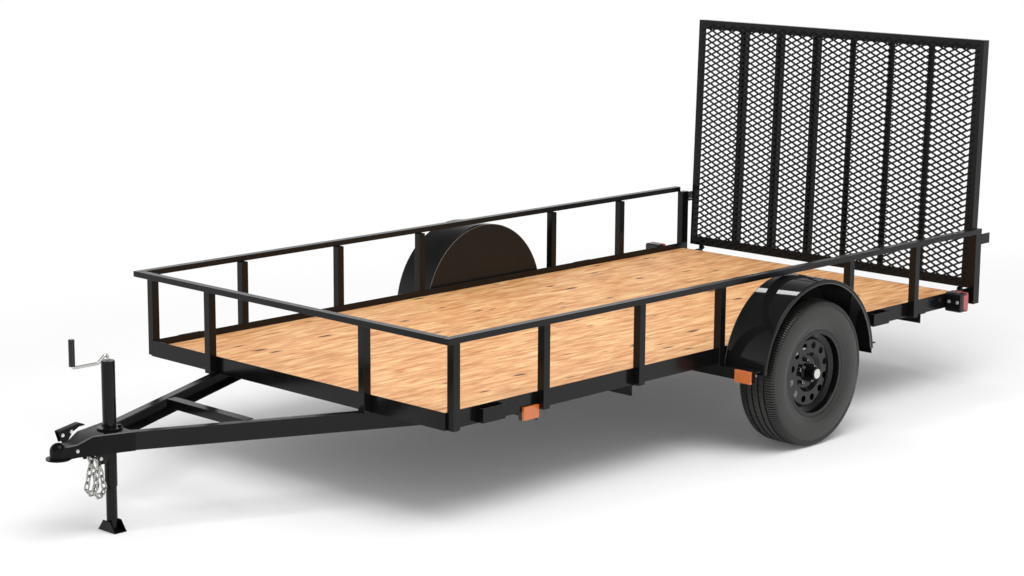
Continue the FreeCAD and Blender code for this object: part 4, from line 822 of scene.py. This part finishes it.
# %% Write the rule of the mesh
def mesh_tree():
    """Zigzag ribbons of expanded mesh in the YZ plane, the first one starting at the origin."""
    tree, given = new_tree("expanded_mesh", Points=int, Rows=int, Half=float, Row=float, Bond=float,
                           Strand=float, Thick=float, Slant=float)
    index = add(tree, "GeometryNodeInputIndex")
    odd = add(tree, "ShaderNodeMath", {0: index, 1: 2.0}, operation="MODULO")
    pair = add(tree, "ShaderNodeMath", {0: index, 1: 2.0}, operation="DIVIDE")
    corner = add(tree, "ShaderNodeMath", {0: pair}, operation="FLOOR")
    end = add(tree, "ShaderNodeMath", {0: odd, 1: 0.5}, operation="SUBTRACT")
    bond = add(tree, "ShaderNodeMath", {0: end, 1: given["Bond"]}, operation="MULTIPLY")
    along = add(tree, "ShaderNodeMath", {0: corner, 1: given["Half"], 2: bond}, operation="MULTIPLY_ADD")
    high = add(tree, "ShaderNodeMath", {0: corner, 1: 2.0}, operation="MODULO")
    rise = add(tree, "ShaderNodeMath", {0: high, 1: given["Row"]}, operation="MULTIPLY")
    line = add(tree, "GeometryNodeMeshLine", {"Count": given["Points"]})
    place = add(tree, "ShaderNodeCombineXYZ", {"Y": along, "Z": rise})
    zigzag = add(tree, "GeometryNodeSetPosition", {"Geometry": line, "Position": place})
    route = add(tree, "GeometryNodeMeshToCurve", {"Mesh": zigzag})
    slanted = add(tree, "GeometryNodeSetCurveTilt", {"Curve": route, "Tilt": given["Slant"]})
    section = add(tree, "GeometryNodeCurvePrimitiveQuadrilateral", {
        "Width": given["Thick"], "Height": given["Strand"]})
    ribbon = add(tree, "GeometryNodeCurveToMesh", {
        "Curve": slanted, "Profile Curve": section, "Fill Caps": True})
    shift = add(tree, "ShaderNodeMath", {0: odd, 1: given["Half"]}, operation="MULTIPLY")
    lift = add(tree, "ShaderNodeMath", {0: index, 1: given["Row"]}, operation="MULTIPLY")
    start = add(tree, "ShaderNodeCombineXYZ", {"Y": shift, "Z": lift})
    rows = add(tree, "GeometryNodePoints", {"Count": given["Rows"], "Position": start})
    return close_tree(tree, given, add(tree, "GeometryNodeInstanceOnPoints", {
        "Points": rows, "Instance": ribbon}))


zigzags = mesh_tree()
print("tree:", zigzags.name)

# %% Pull the mesh open
MESH_HALVES = 52
MESH_ROWS = 76
MESH_HALF = 35.0
MESH_ROW = 16.5
MESH_BOND = 4.0
MESH_STRAND = 10.2
MESH_THICK = 2.8
MESH_SLANT = math.radians(-20)
MESH_FACE = 28.0
MESH_FOOT = 24.0
GATE_LEAN = math.radians(1.87)
ribbons = grown(zigzags, bpy.data.meshes.new("mesh_start"), "mesh_paint", Points=MESH_HALVES * 2,
                Rows=MESH_ROWS, Half=MESH_HALF * MM, Row=MESH_ROW * MM, Bond=MESH_BOND * MM,
                Strand=MESH_STRAND * MM, Thick=MESH_THICK * MM, Slant=MESH_SLANT)
gate_turn = (Matrix.Translation(joint_place["gate_swing"])
             @ Matrix.Rotation(GATE_LEAN, 4, Vector((0, -1, 0))))
ribbons.transform(gate_turn @ Matrix.Translation(
    Vector((MESH_FACE, -MESH_HALVES * MESH_HALF / 2, MESH_FOOT)) * MM))
expanded = stand_for(finished_piece("gate_expanded_mesh", merged(ribbons), "mesh_paint"),
                     "gate_mesh_rising", "gate_mesh_falling")
print("expanded mesh:", len(expanded.data.polygons), "faces")

# %% [markdown]
# ## Chain links, crank and grip
# A chain link is a rod bent into a stadium and welded shut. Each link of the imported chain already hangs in
# its place, so its middle and its long and flat directions are read from its own points. A smooth link is
# then laid there. The crank is one bright rod with rounded bends, and its grip is a ribbed rubber sleeve.

# %% Find the links
LINK_SHORTEST = 35.0
LINK_LONGEST = 50.0
FIRST_GUESS = Vector((0.61, 0.52, 0.33))
GUESSES = 60


def main_direction(points, less=None):
    """The direction in which the points spread most, at right angles to one that is given."""
    spread = Matrix(((0,) * 3,) * 3)
    for point in points:
        flat = point - less * point.dot(less) if less else point
        spread += Matrix([[flat[row] * flat[column] for column in range(3)] for row in range(3)])
    guess = FIRST_GUESS
    for _ in range(GUESSES):
        guess = (spread @ guess).normalized()
    return guess


def link_places(node):
    """The place and turn of every chain link in a node: its loose pieces of a link's length."""
    form = joined(node)
    seen = set()
    places = []
    for start in form.verts:
        group = [] if start in seen else [start]
        seen.add(start)
        for vert in group:
            fresh = [other for other in (edge.other_vert(vert) for edge in vert.link_edges)
                     if other not in seen]
            seen.update(fresh)
            group += fresh
        if group:
            middle = sum((vert.co for vert in group), Vector()) / len(group)
            offsets = [vert.co - middle for vert in group]
            long = main_direction(offsets)
            wide = main_direction(offsets, long)
            reaches = [offset.dot(long) for offset in offsets]
            if LINK_SHORTEST * MM < max(reaches) - min(reaches) < LINK_LONGEST * MM:
                places.append((middle, Matrix((long, wide, long.cross(wide))).transposed().to_quaternion()))
    form.free()
    return sorted(places, key=lambda pair: (round(pair[0].y, 4), round(pair[0].z, 4), round(pair[0].x, 4)))


places = link_places("safety_chains")
print(len(places), "links")

# %% Bend the links
LINK_LENGTH = 35.8
LINK_WIDTH = 19.0
LINK_WIRE = 3.4
LINK_BEND_SHARE = 0.49
ROUND_BAR = math.radians(50)


def link_tree():
    """A closed link in the XY plane."""
    tree, given = new_tree("chain_link", Length=float, Width=float, Bend=float, Rod=float)
    shape = add(tree, "GeometryNodeCurvePrimitiveQuadrilateral", {
        "Width": given["Length"], "Height": given["Width"]})
    return swept_rod(tree, given, shape, bend_steps=8, sides=12)


link = grown(link_tree(), bpy.data.meshes.new("link_start"), "zinc", Length=LINK_LENGTH * MM,
             Width=LINK_WIDTH * MM, Bend=LINK_WIDTH * LINK_BEND_SHARE * MM, Rod=LINK_WIRE * MM)
links = merged(copies_of(link, "links", "zinc", places))
chain = stand_for(finished_piece("safety_chains_links", links, "zinc", ROUND_BAR), "safety_chains")
print("chain", len(chain.data.polygons), "faces")

# %% Bend the crank's rod and pull on its grip
ROD = 6.0
ROD_COAT = 0.4
CRANK_BEND = 11.0
CRANK_TOP = 741.0
CRANK_SLANT_RUN = 48.0
CRANK_SINK = 4.0
JACK_LEG_HALF = 22.5
GRIP_RIBS = 12
GRIP_PITCH = 8.0
GRIP_STEPS = 32


def box_mm(node):
    """A node's low and high corner in millimetres."""
    return [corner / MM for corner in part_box(node)]


jack_x = box_mm("jack_leg")[0].x + JACK_LEG_HALF
crank_low, crank_high = box_mm("jack_crank")
handle_x = crank_high.x - ROD
arm_z = crank_low.z + ROD
rod = bent_rods("crank", "plug_zinc", CRANK_BEND, ROD + ROD_COAT, [
    (jack_x, 0, box_mm("jack_tube")[1].z - CRANK_SINK), (jack_x, 0, CRANK_TOP),
    (jack_x + CRANK_SLANT_RUN, 0, arm_z), (handle_x, 0, arm_z), (handle_x, 0, crank_high.z)])
stand_for(finished_piece("jack_crank_rod", merged(*rod), "plug_zinc", ROUND_BAR), "jack_crank")
grip_mm = [(0, ROD), (0, 11.4), (1.6, 12.8)]
for index in range(GRIP_RIBS):
    grip_mm += [(along + GRIP_PITCH * index, radius)
                for along, radius in ((5, 12.9), (6, 12.0), (9, 12.0), (10, 12.9))]
grip_mm += [(106, 12.8), (108.6, 10.6), (108.9, 0.0), (100, 0.0), (100, ROD)]
grip = turned_form(grip_mm, GRIP_STEPS)
bmesh.ops.rotate(grip, verts=grip.verts, matrix=Matrix.Rotation(math.radians(90), 3, "X"))
bmesh.ops.translate(grip, verts=grip.verts, vec=Vector((handle_x, 0, box_mm("jack_grip")[0].z)) * MM)
stand_for(finished_piece("jack_grip_ribbed", grip, "grip_plastic"), "jack_grip")
print("crank from", crank_low[:], "to", crank_high[:])

# %% [markdown]
# ## Fenders
# A fender is thin sheet rolled to a half round. Its outer edge is turned down over a generous radius, and
# the turned edge ends in a small hem. The big radius catches one long bright line, which is what makes the
# sheet read as pressed and painted. The hem, and a thin bead along the inner plate's round edge, are grey:
# a painted highlight.

# %% Round the fenders' outer edge
FENDER_RADIUS = 424.0
FENDER_EDGE = 6.4
FENDER_EDGE_STEPS = 5
FENDER_LIP = 16.0
HEM_ROD = 4.0
HEM_CLEAR = 0.5
BEAD_ROD = 1.8
BEAD_INSET = 1.0
HEM_STEPS = 64
NEARLY = 0.5
NO_BEND = 0.1


def on_round_edge(vert, centre, level):
    """Whether a corner lies on a fender's round edge, from the round's centre and the edge's level of Y."""
    x, y, z = vert.co / MM - centre
    return abs(y - level) * MM < WELD and abs(math.hypot(x, z) - FENDER_RADIUS) < NEARLY


for side, outward in SIDES.items():
    node = "fender_" + side
    low, high = box_mm(node)
    inner_y, outer_y = sorted((low.y, high.y), key=abs)
    centre = Vector(((low.x + high.x) / 2, 0, high.z - FENDER_RADIUS))
    form = joined(node)
    outer_edges = [edge for edge in form.edges if edge.is_manifold and edge.calc_face_angle() >= SHARP
                   and all(on_round_edge(vert, centre, outer_y) for vert in edge.verts)]
    round_edges(form, outer_edges, FENDER_EDGE, FENDER_EDGE_STEPS, clamp=False)
    piece = stand_for(finished_piece(node + "_rolled", form, slot_of[node]), node)
    hem_radius = FENDER_RADIUS - FENDER_LIP
    end_turn = math.asin((low.z - centre.z) / hem_radius)
    turns = [end_turn + (math.pi - 2 * end_turn) * step / HEM_STEPS for step in range(HEM_STEPS + 1)]
    hem_y = outer_y - outward * (HEM_ROD + HEM_CLEAR)
    # The hem and the bead are grey rods: a painted highlight along the fender's round edges.
    hem = bent_rods("hem", "edge_highlight_paint", NO_BEND, HEM_ROD,
                    [centre + on_circle(hem_radius, turn, hem_y) for turn in turns])
    hem += bent_rods("bead", "edge_highlight_paint", NO_BEND, BEAD_ROD,
                     [centre + on_circle(FENDER_RADIUS - BEAD_INSET, turn, inner_y) for turn in turns])
    edging = finished_piece(node + "_hem", merged(*hem), "edge_highlight_paint", ROUND_BAR)
    ride_with(edging, node)
    print(node, len(piece.data.polygons), "faces and a hem of", len(edging.data.polygons))

# %% [markdown]
# ## The coupler's latch lever
# The lever is a strip of steel folded to a channel: two cheeks with a web between them along the top, and a
# thin finger at the back to lift it by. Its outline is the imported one, but hollow, with three thin plates.

# %% Fold the lever
LEVER_WALL = 3.2
LEVER_EDGE = 0.7
WEB_INSET = 0.4
cheek_mm = [(2503, 411.5), (2527, 411.5), (2535, 436), (2542.2, 457), (2540, 460), (2442, 478), (2419, 470),
            (2417.9, 465), (2446, 463.5), (2474, 449), (2489, 431)]
web_mm = [(2542.2, 456), (2540, 460), (2442, 478), (2419, 470), (2418.5, 466.4), (2442, 474.4),
          (2538.6, 456.6)]


def plates(*shapes_mm):
    """A bmesh of flat plates, each from an outline in the XZ plane and the two levels of Y that it spans."""
    form = bmesh.new()
    for outline_mm, *levels_mm in shapes_mm:
        near, far = ([form.verts.new(Vector((x, y, z)) * MM) for x, z in outline_mm] for y in levels_mm)
        form.faces.new(near)
        form.faces.new(list(reversed(far)))
        skin(form, near, far)
    bmesh.ops.recalc_face_normals(form, faces=form.faces)
    return form


lever_half = box_mm("coupler_latch")[1].y
lever = plates((cheek_mm, lever_half - LEVER_WALL, lever_half),
               (cheek_mm, -lever_half, LEVER_WALL - lever_half),
               (web_mm, WEB_INSET - lever_half, lever_half - WEB_INSET))
round_edges(lever, [edge for edge in lever.edges if edge.calc_face_angle() > SHARP], LEVER_EDGE)
stand_for(finished_piece("coupler_latch_folded", lever, "coupler_paint"), "coupler_latch")
print("lever", round(lever_half * 2, 1), "mm wide")

# %% [markdown]
# ## Coupler seams and side reflectors
# The coupler is pressed from plate, and a thin grey rod along each of its two upper edges, a painted
# highlight, follows its fall to the nose. Each tail lamp has a red reflector on its outer end, seen from the
# side.

# %% Draw the seams and set the reflectors
SEAM_ROD = 2.8
SEAM_BEND = 9.0
LAMP_SIDE = 1062.0
REFLECTOR_HALF = 2.5
REFLECTOR_EDGE = 1.0
seam_mm = [(2240.5, 104.6, 423.4), (2406.7, 52.2, 423.4), (2470.5, 33.4, 396.6), (2524.0, 33.4, 396.6)]
# The seams are grey rods: a painted highlight along the coupler's upper edges.
seams = merged(*bent_rods("seam", "edge_highlight_paint", SEAM_BEND, SEAM_ROD, *(
    [(x, y * outward, z) for x, y, z in seam_mm] for outward in SIDES.values())))
seam = ride_with(finished_piece("coupler_seams", seams, "edge_highlight_paint", ROUND_BAR), "coupler")
print("seams", len(seam.data.polygons), "faces")
reflector_mm = [(-2304, 416), (-2274, 416), (-2262, 430), (-2262, 488), (-2268, 494), (-2304, 494)]
reflectors = plates(*(
    (reflector_mm, LAMP_SIDE * outward - REFLECTOR_HALF, LAMP_SIDE * outward + REFLECTOR_HALF)
    for outward in SIDES.values()))
round_edges(reflectors, reflectors.edges, REFLECTOR_EDGE)
reflector = ride_with(finished_piece("tail_lamp_side_reflectors", reflectors, "red_lens"),
                      "tail_lamp_housings")
print("reflectors", len(reflector.data.polygons), "faces")

# %% [markdown]
# ## Bolts, studs and U-bolts
# Small bright fasteners give the trailer its scale. Black ones hold the jack's flange, fresh zinc ones the
# coupler and its latch, the markers and the tail lamps. Under the bed, U-bolts clamp the springs to the
# axle. All are copies of a few heads, each turned to face out of what it sits on.

# %% Set the bolts on their spots
HEAD_SMOOTH = math.radians(28)
FLANGE_TOP = 432.3
FLANGE_BOLT_CIRCLE = 40.0
BRACKET_FACE = 60.0
NOSE_HALF = 34.0
AHEAD = (1, 0, 0)
UP = (0, 0, 1)


def fasteners(name, sample, finish, carrier, spots_mm):
    """One piece of fasteners on the carrier's body, from places in millimetres and the ways they face."""
    spots = [(Vector(spot) * MM, facing(*way)) for spot, way in spots_mm]
    heads = merged(copies_of(sample, name, finish, spots))
    print(name, len(spots))
    return ride_with(finished_piece(name, heads, finish, HEAD_SMOOTH), carrier)


flange_turns = [math.radians(30 + 120 * index) for index in range(3)]
fasteners("jack_flange_bolts", hex_head("flange_head", 8.6, 6.5, 10.5), "coupler_paint",
          "jack_tube", [((jack_x + FLANGE_BOLT_CIRCLE * math.cos(turn), FLANGE_BOLT_CIRCLE * math.sin(turn),
                          FLANGE_TOP), UP) for turn in flange_turns])
fasteners("tail_lamp_studs", hex_head("stud_head", 7.5, 5.0, 9.0), "bright_zinc",
          "tail_lamp_housings", [((-2240.3, across * outward, 457.0), AHEAD)
                                 for outward in SIDES.values() for across in (990.0, 1040.0)])
coupler_bolts = [(2523.8, lever_half, 442.5), (2482.3, lever_half, 450.0), (2376.0, BRACKET_FACE, 326.4),
                 (2469.0, NOSE_HALF, 370.2)]
fasteners("coupler_bolts", hex_head("coupler_head", 6.0, 4.0, 7.6), "bright_zinc", "coupler",
          [((x, y * outward, z), (0, outward, 0)) for outward in SIDES.values()
           for x, y, z in coupler_bolts])
fasteners("marker_studs", hex_head("marker_head", 5.4, 3.6, 6.4), "bright_zinc", "marker_bases",
          [((-389.3, 1187.5 * outward, 402.0), AHEAD) for outward in SIDES.values()])

# %% Clamp the springs to the axle
U_BOLT_HALF = 32.0
U_BOLT_ROD = 5.5
U_BOLT_BEND = 20.0
U_BOLT_FOOT = 272.0
U_NUT_SEAT = 288.0
DOWN = (0, 0, -1)
axle_low, axle_high = box_mm("axle")
u_bolt_top = axle_high.z + U_BOLT_ROD
u_bolt_ends = [(axle_low.x + axle_high.x) / 2 + U_BOLT_HALF * end for end in (-1, 1)]
u_bolts, u_nuts = [], []
for side in SIDES:
    spring_low, spring_high = box_mm("spring_" + side)
    for across in (spring_low.y - U_BOLT_ROD, spring_high.y + U_BOLT_ROD):
        back, front = u_bolt_ends
        u_bolts += bent_rods("u_bolt", "zinc", U_BOLT_BEND, U_BOLT_ROD, [
            (back, across, U_BOLT_FOOT), (back, across, u_bolt_top), (front, across, u_bolt_top),
            (front, across, U_BOLT_FOOT)])
        u_nuts += [((end, across, U_NUT_SEAT), DOWN) for end in u_bolt_ends]
ride_with(finished_piece("spring_u_bolts", merged(*u_bolts), "zinc", ROUND_BAR), "axle")
fasteners("spring_u_nuts", hex_head("u_nut", 9.5, 9.0, 11.0), "zinc", "axle", u_nuts)

# %% [markdown]
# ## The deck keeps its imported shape
# The planks already have their gaps, so they only get their pine.

# %% Give every other node its finish
for node, piece in nodes.items():
    if node in edge_radii_mm or piece.hide_render:
        continue
    piece.data.materials.clear()
    piece.data.materials.append(finishes[slot_of[node]])
    print(node, slot_of[node])

# %% [markdown]
# ## Floor and light
# The picture was taken on a white sweep under large soft lamps. The floor is a matt white sheet, which
# keeps the trailer's shadow. Away from the trailer it fades into plain white, so that no horizon shows. The
# world is white to the camera, and reflections see a pale room with a darker ceiling, which the paint
# mirrors. The light on the trailer itself stays at a plain level.

# %% Lay the floor
FLOOR_HALF = 60.0
FLOOR_DROP = 0.2 * MM
FLOOR_SOIL_MM = 900
SHADOW_LONG = 3.4
SHADOW_WIDE = 2.2
# A faint glow over the floor near the trailer: painted light that lifts its shadow.
SHADOW_FILL = 0.065
WHITE = linear("#ffffff")


def floor_sheet():
    """A flat white sheet, lit near the trailer, where a faint glow is painted light that lifts the trailer's
    shadow. Far from it a glow makes it plain white to the camera, a reflection or clear plastic, and the
    glow is no light for a surface."""
    form = bmesh.new()
    bmesh.ops.create_grid(form, x_segments=4, y_segments=4, size=FLOOR_HALF)
    bmesh.ops.translate(form, verts=form.verts, vec=(0, 0, -FLOOR_DROP))
    mesh = mesh_of("floor", form)
    material, tree, places = new_finish("matt_white_floor")
    matt = add(tree, "ShaderNodeBsdfPrincipled", {
        "Base Color": patches(tree, places, FLOOR_SOIL_MM, "#fbfbfb", "#ffffff", detail=2.0),
        "Roughness": 0.9, "Specular IOR Level": 0.1})
    scaled = add(tree, "ShaderNodeVectorMath", {0: places, 1: (1 / SHADOW_LONG, 1 / SHADOW_WIDE, 0)},
                 operation="MULTIPLY")
    reach = add(tree, "ShaderNodeVectorMath", {0: scaled}, operation="LENGTH")
    far = add(tree, "ShaderNodeMapRange", {"Value": reach, "From Min": 1.0, "From Max": 2.0,
                                           "To Min": SHADOW_FILL}, interpolation_type="SMOOTHSTEP")
    ray = add(tree, "ShaderNodeLightPath").outputs
    seen = add(tree, "ShaderNodeMath", {0: ray["Is Camera Ray"], 1: ray["Is Glossy Ray"]},
               operation="MAXIMUM")
    seen = add(tree, "ShaderNodeMath", {0: seen, 1: ray["Is Transmission Ray"]}, operation="MAXIMUM")
    share = add(tree, "ShaderNodeMath", {0: far, 1: seen}, operation="MULTIPLY")
    glow = add(tree, "ShaderNodeEmission", {"Color": WHITE, "Strength": 1.0})
    add(tree, "ShaderNodeOutputMaterial", {
        "Surface": add(tree, "ShaderNodeMixShader", {0: share, 1: matt, 2: glow})})
    mesh.materials.append(material)
    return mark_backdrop(placed("floor", mesh))


floor_sheet()
print("floor", 2 * FLOOR_HALF, "m wide")

# %% Fill the world with a white room
SKY_LIGHT = 0.66
CEILING_FROM = 0.02
CEILING_TO = 0.80
CEILING_DARK = 0.12


def white_room():
    """A world that is white to the camera and clear plastic, a room with a darker ceiling to reflections,
    and a plain soft light to everything else."""
    world = bpy.data.worlds.new("white_room")
    world.use_nodes = True
    sky = world.node_tree
    sky.nodes.clear()
    ray = add(sky, "ShaderNodeLightPath").outputs
    direction = add(sky, "ShaderNodeTexCoord").outputs["Generated"]
    height = add(sky, "ShaderNodeSeparateXYZ", {"Vector": direction}).outputs["Z"]
    ceiling = add(sky, "ShaderNodeMapRange", {
        "Value": height, "From Min": CEILING_FROM, "From Max": CEILING_TO, "To Min": 1.0,
        "To Max": CEILING_DARK}, interpolation_type="SMOOTHSTEP")
    plain = add(sky, "ShaderNodeBackground", {"Color": WHITE, "Strength": 1.0})
    room = add(sky, "ShaderNodeBackground", {"Color": WHITE, "Strength": ceiling})
    soft = add(sky, "ShaderNodeBackground", {"Color": WHITE, "Strength": SKY_LIGHT})
    mirrored = add(sky, "ShaderNodeMixShader", {0: ray["Is Glossy Ray"], 1: soft, 2: room})
    direct = add(sky, "ShaderNodeMath", {0: ray["Is Camera Ray"], 1: ray["Is Transmission Ray"]},
                 operation="MAXIMUM")
    add(sky, "ShaderNodeOutputWorld", {
        "Surface": add(sky, "ShaderNodeMixShader", {0: direct, 1: mirrored, 2: plain})})
    return world


bpy.context.scene.world = white_room()
print("world:", bpy.context.scene.world.name)

# %% Hang the lamps
def soft_lamp(name, place, target, wide, long, power):
    """A large lamp at a place, turned towards a target, with its long side level."""
    lamp = placed(name, bpy.data.lights.new(name, "AREA"))
    lamp.data.shape = "RECTANGLE"
    lamp.data.size = wide
    lamp.data.size_y = long
    lamp.data.energy = power
    lamp.location = place
    lamp.rotation_euler = (Vector(target) - Vector(place)).to_track_quat("-Z", "Y").to_euler()


soft_lamp("key_lamp", (1.5, 4.0, 8.5), (0.0, 0.0, 0.5), 6.0, 6.0, 520)
soft_lamp("strip_lamp", (-2.2, -1.94, 4.43), (-0.656, 1.056, 0.735), 1.6, 0.34, 21)
